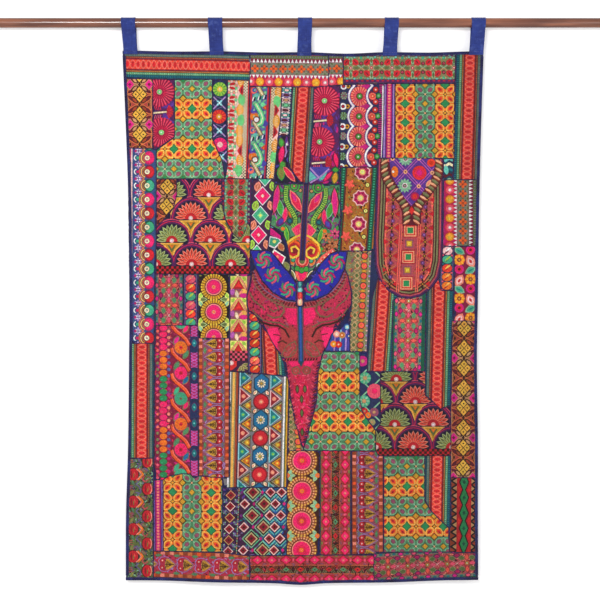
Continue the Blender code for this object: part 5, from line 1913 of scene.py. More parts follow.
LAYOUT = (
    Piece("braid_top", "teal", ring_braid, (
        (LEFT, TOP), (250, TOP), (250, 80), (LEFT, 78),
    ), ((124.5, 63.9), (250, 66.8))),
    Piece("crosses_top", "magenta", orange_crosses, (
        (250, TOP), (328.5, TOP), (328.5, 86.5), (250, 86.5),
    ), ((250, 71), (328, 72.2))),
    Piece("crosses_scrap", "magenta", orange_crosses, (
        (329, TOP), (343, TOP), (343, 84.5), (329, 85.5),
    ), ((329, 71), (343, 71)), {"first": 7.6, "disc": 12.0}),
    Piece("butterflies_top", "khaki", butterfly_trellis, (
        (343.5, TOP), (455.2, TOP), (455, 83.5), (343.5, 83.5),
    ), ((343.5, 68), (455, 68)), {"first": 17.6, "pitch": 20.6}),
    Piece("braid_right", "teal", ring_braid, (
        (455.7, TOP), (RIGHT, TOP), (RIGHT, 179.5), (453, 179.5),
    ), ((470, 55), (466.5, 178))),
    Piece("stars_left", "rust", gold_star, (
        (LEFT, 79), (152.5, 79.5), (152.8, 148), (LEFT, 147.5),
    ), ((139.5, 78), (139.8, 148)), {"first": 16.5, "odd": 1}),
    Piece("fans_left", "plum", fan_wheels, (
        (153.3, 79.5), (174.3, 80), (174.3, 136.5), (156, 149), (153.5, 149),
    ), None, {"wheels": ((159.5, 92), (161.5, 132.5)), "bars": ((153.5, 112.5),)}),
    Piece("pearls", "denim", pearl_border, (
        (LEFT, 148.5), (153, 149), (156, 151), (156, 226), (155, 343), (LEFT, 343),
    ), ((147.5, 148.5), (147.0, 343))),
    Piece("trellis_top", "green", petal_trellis, (
        (175, 80), (212, 80), (212, 138), (217, 150), (222, 161), (224.5, 178.5), (156.8, 178.5),
        (156.8, 150.5), (175, 137.5),
    ), ((165.5, 79), (224, 79)), {"top": 0, "bright": False, "flower": 17.6}),
    Piece("round_flowers", "night", round_flowers, (
        (212.7, 80), (227, 80.5), (227.2, 166), (225.4, 177), (222.5, 160.5), (217.5, 149.5), (212.7, 138),
    ), None, {"flowers": FLOWERS}),
    Piece("leaf_vine", "sage", wavy_leaf, (
        (227.5, 80.5), (249.3, 81), (249.5, 86), (249, 140), (246.6, 178.5), (225.4, 178.5), (227.7, 166),
    ), ((238.8, 80), (236.3, 179)), {"leaves": LEAVES, "wide": 21.6, "margin": True}),
    Piece("hooks", "slate", hooks, (
        (250, 87), (269.4, 87), (268.6, 125), (265.6, 178.5), (247.2, 178.5), (249.7, 140),
    ), ((260, 87.5), (256.5, 179))),
    Piece("leaf_vine_narrow", "mint", wavy_leaf, (
        (270, 87.3), (281.4, 87.3), (280.6, 118), (278.2, 137), (276, 155), (273.6, 178.5), (266.2, 178.5),
        (269.2, 125),
    ), ((275.8, 88), (270.2, 179)), {"leaves": NARROW_LEAVES, "wide": 11.4, "margin": False, "flip": -1}),
    Piece("beads", "petrol", beads, (
        (282, 87.3), (292.2, 87.3), (291, 110), (289.5, 135.5), (278.9, 135.5), (281.2, 118),
    ), ((287, 87), (283.6, 136)), {"colours": BEADS}),
    Piece("paisley_strip", "ink", paisley_strip, (
        (278.7, 136), (289.6, 136), (288.2, 160), (289.5, 168), (299.5, 181), (299, 184), (276, 184),
        (274, 178.5), (276.5, 155),
    )),
    Piece("braid_middle", "teal", ring_braid, (
        (292.8, 87.3), (313.6, 87.3), (312.6, 130), (309.2, 167), (307.6, 183), (300.5, 181.5), (290, 168),
        (288.8, 160), (290.2, 135.5), (291.6, 110),
    ), ((303.5, 87), (297.5, 178))),
    Piece("fans_middle", "plum", fan_wheels, (
        (314.2, 87.3), (340, 86), (340, 120), (339.4, 184), (308.4, 184), (309.8, 167), (313.2, 130),
    ), None, {"wheels": ((324.5, 101), (319.5, 142)), "bars": ((313.5, 121), (312, 163)), "corner": True}),
    Piece("scallop_flowers", "night", scallops, (
        (340.6, 85.5), (383.6, 84), (383.2, 120), (381.5, 158), (377.8, 158.5), (377.4, 167), (340, 167),
    )),
    Piece("pink_dots", "violet", pink_dots, (
        (384.3, 84), (394.6, 84), (394.6, 158), (382.2, 158), (383.8, 120),
    ), ((389.4, 84), (388.4, 158))),
    Piece("trellis_right", "green", petal_trellis, (
        (395.2, 84), (455, 84), (453.6, 158.5), (395.2, 158.5),
    ), ((395, 85), (395, 158)), {
        "top": 0.0, "bright": True, "flower": 9.5, "pitch": 18.7, "deep": 20.0, "flip": -1,
    }),
    Piece("zigzags", "petrol", zigzag_scrap, (
        (443.8, 159), (453.2, 159), (452.6, 180), (442.6, 180),
    )),
    Piece("stars_curved", "rust", gold_star, (
        (156.8, 179.5), (176.3, 179.5), (176.6, 195), (173, 208), (166, 217), (156.8, 226),
    ), ((168, 167), (166, 226)), {"first": 19.5, "pitch": 20, "odd": 0}),
    Piece("lotuses_left", "ink", lotus_arches, (
        (177.3, 179.5), (221.3, 179.5), (221.8, 204), (225, 220), (232.5, 234), (240, 240.5), (245, 233),
        (250, 218), (249.5, 273.5), (156.8, 273.5), (156.8, 227), (166.6, 218), (173.8, 208.6),
        (177.3, 195),
    ), None, {"rows": LEFT_LOTUSES, "edge": (156.5, 250, 266.4)}),
    Piece("butterflies_curved", "khaki", butterfly_trellis, (
        (222, 179.5), (252, 179.5), (251, 212), (246, 230), (240, 239.5), (233, 233), (226, 219),
        (222.6, 203),
    ), ((236.5, 178), (235.5, 240)), {"first": 9.5, "pitch": 20.4}),
    Piece("diamonds", "aubergine", diamond_strip, (
        (252.6, 179.5), (274.4, 179.5), (272.6, 200), (270, 225), (267.4, 250), (250.4, 250), (250.6, 219),
        (252, 205),
    ), None, {"diamonds": DIAMONDS}),
    Piece("scrap_diamonds", "ink", scrap_diamonds, (
        (270.4, 226), (280, 231), (287, 244), (290, 262), (291, 274), (283.5, 266.5), (276, 256.5),
        (270, 250.6), (267.9, 250),
    )),
    Piece("leaf_panel", "fern", v_panel, (
        (275, 184.3), (339.6, 184.5), (341, 215), (337.2, 250.5), (330, 253.5), (321.5, 262), (312, 272),
        (303.6, 281), (296.4, 281), (291.5, 274), (290.6, 262), (287.6, 244), (280.6, 230.5), (270.8, 225),
        (273.2, 200),
    ), ((306.3, 185), (300.8, 285)), {"flip": -1}),
    Piece("brown_flowers", "ochre", brown_flowers, (
        (341, 167.5), (377.2, 167.5), (376, 200), (374, 240), (374.4, 250.5), (337.6, 250.5), (341.2, 215),
    ), ((359.5, 167), (353.5, 250)), {"flip": -1}),
    Piece("moon_left", "royal", crescent, (
        (250.6, 250.8), (270, 251.2), (276, 257.2), (284, 267.5), (292, 277.5), (296, 284), (296, 301),
        (285, 299.2), (273, 292), (262.5, 280.5), (256, 268),
    ), None, {"rosettes": ((263.6, 260, 8.6), (273, 275.4, 8.6), (287.3, 289.6, 8.2))}),
    Piece("moon_right", "royal", crescent, (
        (347, 252), (337, 251.8), (330, 254.8), (322, 263), (312, 274), (304, 284), (304, 301),
        (315, 299.8), (328, 293.4), (338, 282.6), (344, 269),
    ), None, {"rosettes": ((336.6, 262.4, 8.6), (327, 276.2, 8.6), (312.6, 289.4, 8.2))}),
    Piece("bead_drop", "purple", bead_drop, (
        (296.6, 281.6), (303.4, 281.6), (303.4, 306), (296.6, 306),
    )),
    Piece("yoke_rose", "claret", rose_yoke, (
        (252.4, 272), (255.6, 269), (262, 281.4), (272.6, 293), (285, 300), (296, 302), (296, 306.6),
        (304, 306.6), (304, 302), (315.4, 300.8), (328.6, 294.2), (338.8, 283.2), (344.6, 270),
        (347.6, 276), (351.4, 293), (351, 304), (348, 311), (343, 319.4), (337, 327.4), (331, 334.4),
        (327, 345), (323.2, 352), (321, 360), (318, 372), (317, 390), (316, 402), (313, 415), (309, 428),
        (306, 440), (303, 447.6), (300, 440), (297, 428), (294, 415), (291, 402), (290, 392), (289, 383),
        (287, 372), (284, 362), (279, 352), (272, 341), (268, 333), (262, 325.4), (256, 315.4), (250, 311),
        (247.4, 305), (247.4, 295), (250, 286),
    ), ((300, 300), (302.4, 447)), {"flip": -1}),
    Piece("lattice_tan", "drab", tan_lattice, (
        (347.6, 251.4), (374.4, 251.4), (375, 265), (377.6, 277), (371, 300), (367.4, 351.4),
        (350.4, 351.4), (349.4, 320), (352, 305), (352, 292), (348.4, 276), (345.2, 269),
    ), ((361.4, 252), (356.6, 351))),
    Piece("braid_lower_middle", "teal", ring_braid, (
        (378.2, 278), (381, 282), (388.5, 291), (397, 296.6), (392.4, 301), (391.2, 371), (367.4, 371),
        (368, 352), (371.8, 300),
    ), ((384.5, 278), (378, 371)), {"flip": -1}),
    Piece("yoke_round", "rosewood", round_yoke, (
        (378.2, 158.6), (376.4, 200), (374.6, 240), (375.4, 265), (379.2, 279.6), (388.5, 290.4),
        (400, 296.8), (410, 298), (420.4, 295.4), (431, 287.4), (438, 277.4), (441.4, 262), (442.2, 240),
        (442.6, 200), (443, 158.6),
    )),
    Piece("crosses_right", "magenta", orange_crosses, (
        (443.4, 180.4), (RIGHT, 180.4), (RIGHT, 246), (442.8, 246), (443, 200),
    ), ((460.2, 181), (460.2, 246)), {"first": 3.5, "pitch": 9.35, "disc": 18.5}),
    Piece("dots_right", "night", leaf_dots, (
        (442.6, 246.6), (453.6, 246.6), (453.6, 290), (440.6, 290), (438.6, 278), (441.8, 262),
    ), ((447.4, 246), (446.4, 290)), {
        "first": 5.0, "colours": ("blush", "jade", "scarlet", "orange", "orange"),
    }),
    Piece("mixed_flowers", "wine", mixed_flowers, (
        (454.2, 246.6), (RIGHT, 246.6), (RIGHT, 320.6), (454, 320.6),
    )),
    Piece("stars_right", "rust", gold_star, (
        (452, 321.2), (RIGHT, 321.2), (RIGHT, 477), (450.8, 477), (451, 400),
    ), ((463.8, 318), (462.6, 478)), {"first": 10.2, "pitch": 19.85, "odd": 1}),
    Piece("crosses_green", "rosewood", cross_flowers, (
        (393, 301), (398, 297.2), (410, 298.8), (420.8, 296.2), (426, 293), (425.2, 330), (424.4, 371),
        (391.8, 371),
    ), ((408.8, 291), (407, 371)), {"first": 10.0}),
    Piece("braid_lower_right", "teal", ring_braid, (
        (426.6, 292.6), (431.4, 288.6), (438.4, 279.6), (440.4, 290.6), (453.4, 290.6), (453, 321),
        (451.4, 340), (450.4, 404.6), (440, 408.4), (431, 399), (425.2, 395), (425, 371), (425.8, 330),
    ), ((439.4, 280), (436.4, 405)), {"flip": -1}),
    Piece("flowers_green_left", "rosewood", cross_flowers, (
        (155.4, 274.2), (183.4, 274.2), (183.2, 325), (154.6, 325),
    ), ((169, 275), (169, 325)), {"first": 10.4, "pitch": 20}),
    Piece("dots_left", "plum", leaf_dots, (
        (184, 274.2), (197.8, 274.2), (197.8, 325), (183.8, 325),
    ), ((190.8, 274), (190.8, 325)), {
        "first": 5.0, "colours": ("rose", "scarlet", "jade", "rose", "scarlet", "jade"),
    }),
    Piece("circles_mustard", "black", mustard_circles, (
        (198.4, 274.2), (229.6, 274.2), (229.6, 337.6), (198.4, 337.6),
    ), None, {"centres": ((214, 287), (214, 312), (214, 337))}),
    Piece("arrows", "mauve", arrows, (
        (230.2, 274.2), (251.8, 274.2), (249.6, 286), (246.8, 295), (246.8, 305), (248, 312), (247.8, 371),
        (230.2, 371),
    ), ((238.8, 275), (238.4, 371)), {"corner": True}),
    Piece("dots_middle", "aubergine", leaf_dots, (
        (248.6, 312), (250, 311.8), (255.6, 316), (261.2, 325.6), (261.6, 373.4), (248.4, 372),
    ), ((254.4, 311), (255, 373)), {
        "first": 6.0, "colours": ("scarlet", "jade", "flame", "flame", "jade", "coral", "flame"),
    }),
    Piece("braid_scrap", "teal", ring_braid, (
        (262, 326.6), (267.6, 333.8), (271.6, 341.6), (278.6, 352.6), (283.6, 362.6), (286.4, 376),
        (262.2, 373.6),
    ), ((269, 326), (271.6, 376)), {"flip": -1}),
    Piece("vine", "wine", vine, (
        (154.6, 325.6), (197.8, 325.6), (198.2, 338), (198.6, 475), (195, 477.6), (190, 473.4), (183, 473),
        (168, 476), (163, 479.6), (154, 480),
    ), ((175.4, 325), (175.4, 480)), {"flip": -1}),
    Piece("braid_left", "teal", ring_braid, (
        (LEFT, 343.6), (154, 343.6), (153.6, 458), (LEFT, 458),
    ), ((142, 344), (141.7, 458))),
    Piece("drops_middle", "mauve", leaf_drops, (
        (198.6, 338.2), (229.6, 338.2), (229.4, 476.4), (222, 477), (200, 475.2), (198.9, 475),
    ), ((214, 339), (214, 476)), {"first": 4.5, "pitch": 13.5}),
    Piece("striped_scrap", "indigo", striped_scrap, (
        (343.6, 320), (349, 312), (349.4, 351), (323.8, 351), (327.6, 345), (331.6, 335), (337.4, 328),
    )),
    Piece("geometric", "grey", geometric, (
        (230, 371.6), (261.8, 374), (286.6, 376.4), (288.6, 383), (289.4, 392), (289, 400), (288, 450),
        (286.6, 487), (222.6, 487), (222.4, 477.6), (229.6, 477),
    ), ((261.8, 372), (259.2, 487)), {"flip": -1}),
    Piece("lattice_scrap", "drab", tan_lattice, (
        (289.4, 398), (291.2, 403), (294, 416), (297, 429), (300, 441), (303, 448), (303, 450.4),
        (288.2, 450.4),
    ), ((293.6, 398), (295, 451))),
    Piece("trellis_middle", "green", petal_trellis, (
        (323.4, 351.6), (359.2, 351.6), (359.4, 372), (359.6, 400), (362, 412), (368, 421), (375, 430),
        (375.4, 450.4), (303.6, 450.4), (306.6, 440), (309.6, 428), (313.6, 415), (316.6, 402),
        (317.6, 390), (318.6, 372), (321.6, 360),
    ), ((320.4, 351), (375, 351)), {"top": 0.6, "bright": False, "flower": 18.3}),
    Piece("cross_lines", "night", cross_lines, (
        (359.8, 352), (367.2, 352), (367, 371.6), (380, 371.6), (380.4, 423), (375.4, 430), (368.4, 420.4),
        (362.4, 411.6), (360, 400),
    )),
    Piece("lotuses_right", "ink", lotus_arches, (
        (380.4, 371.6), (424.8, 371.6), (424.8, 395.6), (431, 400), (440, 409.2), (450, 405.6), (450, 455),
        (378.6, 455), (376, 450.4), (375.8, 430.6), (380.8, 423),
    ), None, {"rows": RIGHT_LOTUSES, "edge": (374, 452, 448.6)}),
    Piece("circles_pink", "umber", big_circles, (
        (287.6, 451), (319.6, 451), (319.6, 555), (287, 555),
    ), None, {"centres": ((302, 430), (302, 460.5), (302, 491), (301.6, 521), (301.4, 550))}),
    Piece("twins_upright", "magenta", twin_diamonds, (
        (320.2, 451), (350.6, 451), (350.6, 554.4), (320.2, 555),
    ), ((335.6, 452), (335.4, 554)), {"first": 12.5}),
    Piece("drops_right", "mauve", leaf_drops, (
        (351.2, 451), (375.4, 451), (378.4, 455.4), (383.4, 455.4), (383.4, 552.4), (351.2, 554.4),
    ), ((367.4, 453), (367.6, 554)), {"first": 7.0, "pitch": 13.4, "point": -1}),
    Piece("trellis_lower_right", "green", petal_trellis, (
        (384, 455.6), (424.4, 455.6), (424.4, 500), (430, 510.4), (439.6, 520), (448, 527.4), (449, 551.4),
        (384, 551.8),
    ), ((379.5, 456), (449, 456)), {"top": 0.2, "bright": False, "flower": 18.2}),
    Piece("braid_bottom_right", "teal", ring_braid, (
        (425, 455.6), (450, 455.6), (450.4, 526.6), (448.4, 526.8), (440.2, 519.4), (430.6, 509.6),
        (425, 500),
    ), ((437.4, 456), (436, 527)), {"flip": -1}),
    Piece("chain_green", "crimson", green_chain, (
        (451, 477.6), (RIGHT, 477.6), (RIGHT, 551.6), (449.6, 551.4), (448.8, 527.4), (451, 527),
    ), ((463.8, 477), (463.2, 552))),
    Piece("scrolls", "moss", scroll_border, (
        (LEFT, 458.6), (153, 458.6), (153, BOTTOM), (LEFT, BOTTOM),
    ), ((140.8, 458), (140.4, 580)), {"flip": -1}),
    Piece("pink_dots_low", "violet", pink_dots, (
        (153.6, 480.6), (162.6, 480.2), (162.8, 551), (153.6, 551),
    ), ((157.8, 480), (158.2, 551))),
    Piece("trellis_lower_left", "green", petal_trellis, (
        (163.2, 480.2), (168, 476.6), (183, 473.8), (190, 474.2), (195, 478.2), (200, 475.8),
        (222.2, 477.6), (222.4, 551), (163.4, 551),
    ), ((163.5, 473), (163.5, 551)), {
        "top": -0.6, "bright": True, "flower": 9.5, "pitch": 19, "deep": 19.4, "flip": -1,
    }),
    Piece("ikat", "aubergine", ikat, (
        (222.8, 487.6), (286.6, 487.6), (286.8, 555), (249.6, 555), (222.8, 551.8),
    )),
    Piece("drops_bottom", "claret", leaf_drops, (
        (153.6, 551.6), (222.4, 551.8), (249.6, 555.6), (249.6, BOTTOM), (153.6, BOTTOM),
    ), ((153, 564), (249, 566.5)), {"first": 14.5, "pitch": 18.3, "along": True, "edge": 9.2}),
    Piece("twins_bottom", "magenta", twin_diamonds, (
        (250, 555.6), (373.6, 555.4), (373.8, BOTTOM), (303, BOTTOM), (250, BOTTOM),
    ), ((250, 569.4), (373, 569.6)), {"first": 7.5}),
    Piece("crosses_bottom", "rosewood", cross_flowers, (
        (374, 552.6), (449, 552), (RIGHT, 552), (RIGHT, BOTTOM), (374.2, BOTTOM),
    ), ((374, 567.5), (474, 562)), {"first": 14.0, "corner": "moss"}),
)


# How far, in squares, a patch reaches under the binding
TUCKED_UNDER = 1.2


def inside_binding(u, v):
    """The place, moved in where it would lie beyond the binding's inner edge."""
    down = min(max(((v - AXIS_V) * SQUARE - PANEL_TOP) / (PANEL_HEM - PANEL_TOP), 0.0), 1.0)
    tuck = VISIBLE_BINDING / SQUARE - TUCKED_UNDER
    left = MIDDLE_U + smooth(SIDES, down, 1) / SQUARE + tuck
    right = MIDDLE_U + smooth(SIDES, down, 2) / SQUARE - tuck
    u = min(max(u, left), right)
    across = (u - left) / (right - left)
    top = AXIS_V + top_drop((u - MIDDLE_U) * SQUARE) / SQUARE + tuck
    hem = AXIS_V + smooth(HEM, across, 1) / SQUARE - tuck
    return u, min(max(v, top), hem)


# The finishes


def set_shader(shader, settings):
    """Sets a shader's own inputs by name."""
    for name, value in settings.items():
        shader.inputs[name].default_value = value


class Nodes:
    """A material's node tree, built by short calls."""

    def __init__(self, name):
        self.material = bpy.data.materials.new(name)
        self.material.use_nodes = True
        self.tree = self.material.node_tree
        self.shader = self.tree.nodes["Principled BSDF"]
        self.place = self.add("ShaderNodeTexCoord").outputs["Object"]

    def add(self, kind, inputs=None, **settings):
        """One node, its inputs set to values or linked to other nodes' outputs."""
        node = self.tree.nodes.new(kind)
        for key, value in settings.items():
            setattr(node, key, value)
        for key, value in (inputs or {}).items():
            if isinstance(value, bpy.types.NodeSocket):
                self.tree.links.new(value, node.inputs[key])
            else:
                node.inputs[key].default_value = value
        return node

    def math(self, operation, a, b=0.0, c=0.0):
        """A sum of one, two or three values."""
        return self.add("ShaderNodeMath", {0: a, 1: b, 2: c}, operation=operation).outputs[0]

    def noise(self, scale, detail=2.0, stretch=(1, 1, 1)):
        """Noise in the object's own space, stretched along its axes."""
        place = self.add("ShaderNodeMapping", {"Vector": self.place, "Scale": stretch}).outputs[0]
        node = self.add("ShaderNodeTexNoise", {"Vector": place, "Scale": scale, "Detail": detail})
        return node.outputs["Fac"]

    def spread(self, value, low, high, start=0.3, end=0.7):
        """The value's range from start to end, spread over low to high."""
        return self.add("ShaderNodeMapRange", {0: value, 1: start, 2: end, 3: low, 4: high}).outputs[0]

    def mix(self, factor, a, b, blend="MIX"):
        """Two colours mixed."""
        node = self.add("ShaderNodeMix", data_type="RGBA", blend_type=blend)
        for socket, value in ((node.inputs[0], factor), (node.inputs[6], a), (node.inputs[7], b)):
            if isinstance(value, bpy.types.NodeSocket):
                self.tree.links.new(value, socket)
            else:
                socket.default_value = value if not isinstance(value, tuple) else (*value, 1.0)
        return node.outputs[2]

    def shade(self, colour, value):
        """The colour times a grey value."""
        grey = self.add("ShaderNodeCombineColor", {0: value, 1: value, 2: value}).outputs[0]
        return self.mix(1.0, colour, grey, "MULTIPLY")

    def finish(self, colour, height, depth, roughness, sheen=0.0, coat=0.0):
        """The material, with its colour and bump linked and its gloss set."""
        self.tree.links.new(colour, self.shader.inputs["Base Color"])
        bump = self.add("ShaderNodeBump", {"Height": height, "Distance": depth, "Strength": 1.0}).outputs[0]
        self.tree.links.new(bump, self.shader.inputs["Normal"])
        set_shader(self.shader, {
            "Roughness": roughness, "Specular IOR Level": 0.3, "Sheen Weight": sheen,
            "Sheen Roughness": 0.4, "Coat Weight": coat, "Coat Roughness": 0.14,
        })
        return self.material


# How far apart the threads lie in the stitching and in the plain cotton
THREAD_PITCH = 0.0008
WEAVE_PITCH = 0.0009


def thread_finish():
    """Satin stitches that lie the way each shape's lay says, in the shape's own tint, with painted shade in
    the grooves between the threads.
    """
    n = Nodes("embroidery_thread")
    tint = n.add("ShaderNodeAttribute", attribute_name="tint").outputs["Color"]
    lay = n.add("ShaderNodeAttribute", attribute_name="lay").outputs["Vector"]
    along = n.add("ShaderNodeVectorMath", {0: n.place, 1: lay}, operation="DOT_PRODUCT").outputs["Value"]
    sway = n.noise(420.0, 1.0)
    phase = n.math("MULTIPLY_ADD", along, math.tau / THREAD_PITCH, n.math("MULTIPLY", sway, 5.0))
    thread = n.math("MULTIPLY_ADD", n.math("SINE", phase), 0.5, 0.5)
    patchy = n.spread(n.noise(300.0, 3.0), 0.66, 1.26)
    faded = n.spread(n.noise(38.0, 2.0), 0.90, 1.08)
    # Painted shade and light: the colour is darker in the grooves between the threads and a little lighter on
    # their crowns
    dark = n.spread(thread, 0.78, 1.06, 0.0, 1.0)
    colour = n.shade(tint, n.math("MULTIPLY", n.math("MULTIPLY", patchy, faded), dark))
    height = n.math("ADD", n.math("MULTIPLY", thread, 0.35), n.noise(190.0, 3.0))
    return n.finish(colour, height, 0.0009, 0.62, sheen=0.25)


def cotton_finish(name, deep, light, wear):
    """Plain woven cotton, dyed a little unevenly, with slubs along both threads and painted shade in the
    weave's hollows.
    """
    n = Nodes(name)
    axes = n.add("ShaderNodeSeparateXYZ", {0: n.place}).outputs
    warp = n.math("SINE", n.math("MULTIPLY", axes[0], math.tau / WEAVE_PITCH))
    weft = n.math("SINE", n.math("MULTIPLY", n.math("ADD", axes[2], axes[1]), math.tau / WEAVE_PITCH))
    weave = n.math("MULTIPLY_ADD", n.math("MULTIPLY", warp, weft), 0.5, 0.5)
    slubs = n.math("ADD", n.noise(260.0, 2.0, (1, 1, 0.12)), n.noise(260.0, 2.0, (0.12, 1, 1)))
    dye = n.mix(n.spread(n.noise(26.0, 4.0), 0.0, 1.0), deep, light)
    worn = n.mix(n.spread(n.noise(90.0, 4.0), 0.0, 0.5, 0.55, 0.75), dye, wear)
    # Painted shade and light: raised darkens the colour where the weave's threads dip and lightens it on
    # their tops
    raised, slubby = n.spread(weave, 0.84, 1.08, 0.0, 1.0), n.spread(slubs, 0.84, 1.14, 0.75, 1.25)
    value = n.math("MULTIPLY", raised, slubby)
    height = n.math("ADD", n.math("MULTIPLY", weave, 0.3), n.math("MULTIPLY", n.noise(70.0, 3.0), 1.4))
    return n.finish(n.shade(worn, value), height, 0.0007, 0.82, sheen=0.2)


def wood_finish():
    """Stained wood with long grain under a clear varnish."""
    n = Nodes("varnished_wood")
    grain = n.noise(60.0, 6.0, (0.09, 1, 1))
    pores = n.noise(900.0, 2.0, (0.03, 1, 1))
    body = n.mix(n.spread(grain, 0.0, 1.0, 0.35, 0.68), LINEAR["stain"], LINEAR["beech"])
    clouds = n.spread(n.noise(7.0, 2.0, (0.4, 1, 1)), 0.82, 1.12)
    colour = n.shade(body, n.math("MULTIPLY", clouds, n.spread(pores, 0.86, 1.05)))
    height = n.math("ADD", grain, n.math("MULTIPLY", pores, 0.3))
    return n.finish(colour, height, 0.0001, 0.36, coat=1.0)


# The pieces of cloth


def new_mesh(name, points, faces, finish, tints=None, lays=None):
    """A smooth mesh object, with a tint and a thread's way for each point where they are given."""
    mesh = bpy.data.meshes.new(name)
    mesh.from_pydata(points, [], faces)
    mesh.update()
    if tints is not None:
        colours = mesh.attributes.new("tint", "FLOAT_COLOR", "POINT")
        colours.data.foreach_set("color", np.column_stack([np.array(tints), np.ones(len(points))]).ravel())
        vectors = mesh.attributes.new("lay", "FLOAT_VECTOR", "POINT")
        vectors.data.foreach_set("vector", np.array(lays, dtype=float).ravel())
    mesh.shade_smooth()
    mesh.materials.append(finish)
    made = bpy.data.objects.new(name, mesh)
    bpy.context.scene.collection.objects.link(made)
    return made


def closed_grid(name, columns, rows, place, finish):
    """A closed thin body: place(across, down, side) gives the points of its two faces."""
    points, faces = [], []
    for side in (-1, 1):
        points += [place(i / columns, j / rows, side) for j in range(rows + 1) for i in range(columns + 1)]
    wide, back = columns + 1, (columns + 1) * (rows + 1)
    for j in range(rows):
        for i in range(columns):
            k = j * wide + i
            faces.append((k, k + wide, k + wide + 1, k + 1))
            faces.append((back + k, back + k + 1, back + k + wide + 1, back + k + wide))
    rim = [*range(wide), *(wide * (j + 1) - 1 for j in range(1, rows + 1))]
    rim += [rows * wide + i for i in range(columns - 1, -1, -1)]
    rim += [wide * j for j in range(rows - 1, 0, -1)]
    faces += [(p, q, back + q, back + p) for p, q in edges(rim)]
    return new_mesh(name, points, faces, finish)


# The ground cloth's grid
GROUND_COLUMNS, GROUND_ROWS = 72, 100


def make_ground_cloth(finish):
    """The plain cloth that the patches are sewn to, its edges inside the binding."""

    def place(across, down, side):
        """A point of the cloth's back or front."""
        x, y, z = on_cloth(across, down, GROUND_INSET * (1 - 2 * across), GROUND_INSET * (2 * down - 1))
        return x, y + side * GROUND_FRONT, z

    return closed_grid("ground_cloth", GROUND_COLUMNS, GROUND_ROWS, place, finish)


# The binding's section in millimetres: how far in from the panel's edge, and how far off its middle layer
BINDING_SECTION = (
    (9.0, -2.3), (8.7, -3.2), (7.4, -3.9), (5.4, -4.1), (2.8, -3.8), (0.6, -2.9), (-0.3, -1.2),
    (-0.4, 0.4), (0.1, 2.2), (2.0, 3.1), (6.0, 3.3), (10.0, 3.2), (13.0, 2.9), (13.8, 2.5),
)
# The strip's inner face: the least that it lies in from the edge, and how far inside the outer face
LINING_INSET, LINING_DEPTH = 0.0010, 0.0008
# From how far in the binding's seam is wavy, and for each wave how close it is and how deep
WAVY_FROM = 0.005
LONG_WAVE, SHORT_WAVE, PLUMP_WAVE = (61, 0.0003), (157, 0.0002), (93, 0.00025)
# The gap between two strips at a corner, and the steps along each strip
MITRE_GAP = 0.0002
EDGE_STEPS = {"top": 150, "bottom": 150, "left": 200, "right": 200}


def wave(kind, along, phase):
    """How far a wave moves a place along the strip."""
    close, deep = kind
    return deep * math.sin(close * along + phase)


def make_binding(side, finish):
    """A folded strip, plump between its edge and its seam, and a little uneven along it."""
    section = [(inward / 1000, off / 1000) for inward, off in BINDING_SECTION]
    lining = [(max(inward, LINING_INSET), off - math.copysign(LINING_DEPTH, off)) for inward, off in section]

    def place(along, wrap, face):
        """A point along the strip and round its section."""
        k = round(wrap * (len(section) - 1))
        inward, off = (section if face < 0 else lining)[k]
        if inward > WAVY_FROM:
            inward += wave(LONG_WAVE, along, 2 * len(side)) + wave(SHORT_WAVE, along, 1)
        off += math.copysign(wave(PLUMP_WAVE, along, k), off)
        return by_edge(side, along, inward, BINDING_WIDTH + MITRE_GAP, off)

    return closed_grid(f"bound_edge_{side}", EDGE_STEPS[side], len(section) - 1, place, finish)


# A tab's grid, and in metres how thick its hem is, how deep its creases are and how far it sways
TAB_COLUMNS, TAB_ROWS = 18, 44
TAB_HEM = 0.00035
TAB_CREASE = 0.0004
TAB_SWAY = 0.0006
# By shares of the tab's width from its middle: where the hem starts and where it thins, and to what share
TAB_HEM_FROM, TAB_HEM_TO, TAB_HEM_THIN = 0.38, 0.47, 0.6
# How much narrower the tab is between the rod and the panel, and how uneven its width is
TAB_WAIST, TAB_UNEVEN = 0.03, 0.01


def make_tab(number, tab, finish):
    """One cotton strip over the rod, with hemmed edges, and its length."""
    path = tab_path(tab.drop)
    lengths = [0.0]
    for p, q in runs(path):
        lengths.append(lengths[-1] + math.dist(p, q))

    def at(share):
        """The place on the path, and the way that faces out from it."""
        want = share * lengths[-1]
        i = next((k for k in range(1, len(lengths) - 1) if want <= lengths[k]), len(lengths) - 1)
        t = (want - lengths[i - 1]) / (lengths[i] - lengths[i - 1])
        (y0, z0), (y1, z1) = path[i - 1], path[i]
        long = math.dist(path[i - 1], path[i])
        return *between(path[i - 1], path[i], t), (z1 - z0) / long, -(y1 - y0) / long

    def place(across, along, face):
        """A point across the strip and along it."""
        y, z, ny, nz = at(along)
        lowered = min(max(-z / tab.drop, 0.0), 1.0)
        middle = tab.over_rod + (tab.at_panel - tab.over_rod) * lowered
        from_middle = abs(across - 0.5)
        thick = TAB_HEM * (TAB_HEM_THIN if from_middle > TAB_HEM_TO else 1.0)
        hem = 0.0 if from_middle < TAB_HEM_FROM else thick
        free = math.sin(math.pi * lowered)
        crease = TAB_CREASE * math.sin(9 * across + 2.3 * number) * free * (1 if face < 0 else 0.8)
        waist = 1 - TAB_WAIST * free - TAB_UNEVEN * math.sin(7 * along + number)
        x = middle + TAB_WIDTH * (across - 0.5) * waist + TAB_SWAY * math.sin(11 * along + number) * lowered
        out = crease - face * (TAB_THICKNESS / 2 + hem)
        return x, y + fold_depth(x, 0.0) * lowered - ny * out, z - nz * out

    return closed_grid(f"cotton_tab_{number}", TAB_COLUMNS, TAB_ROWS, place, finish), lengths[-1]


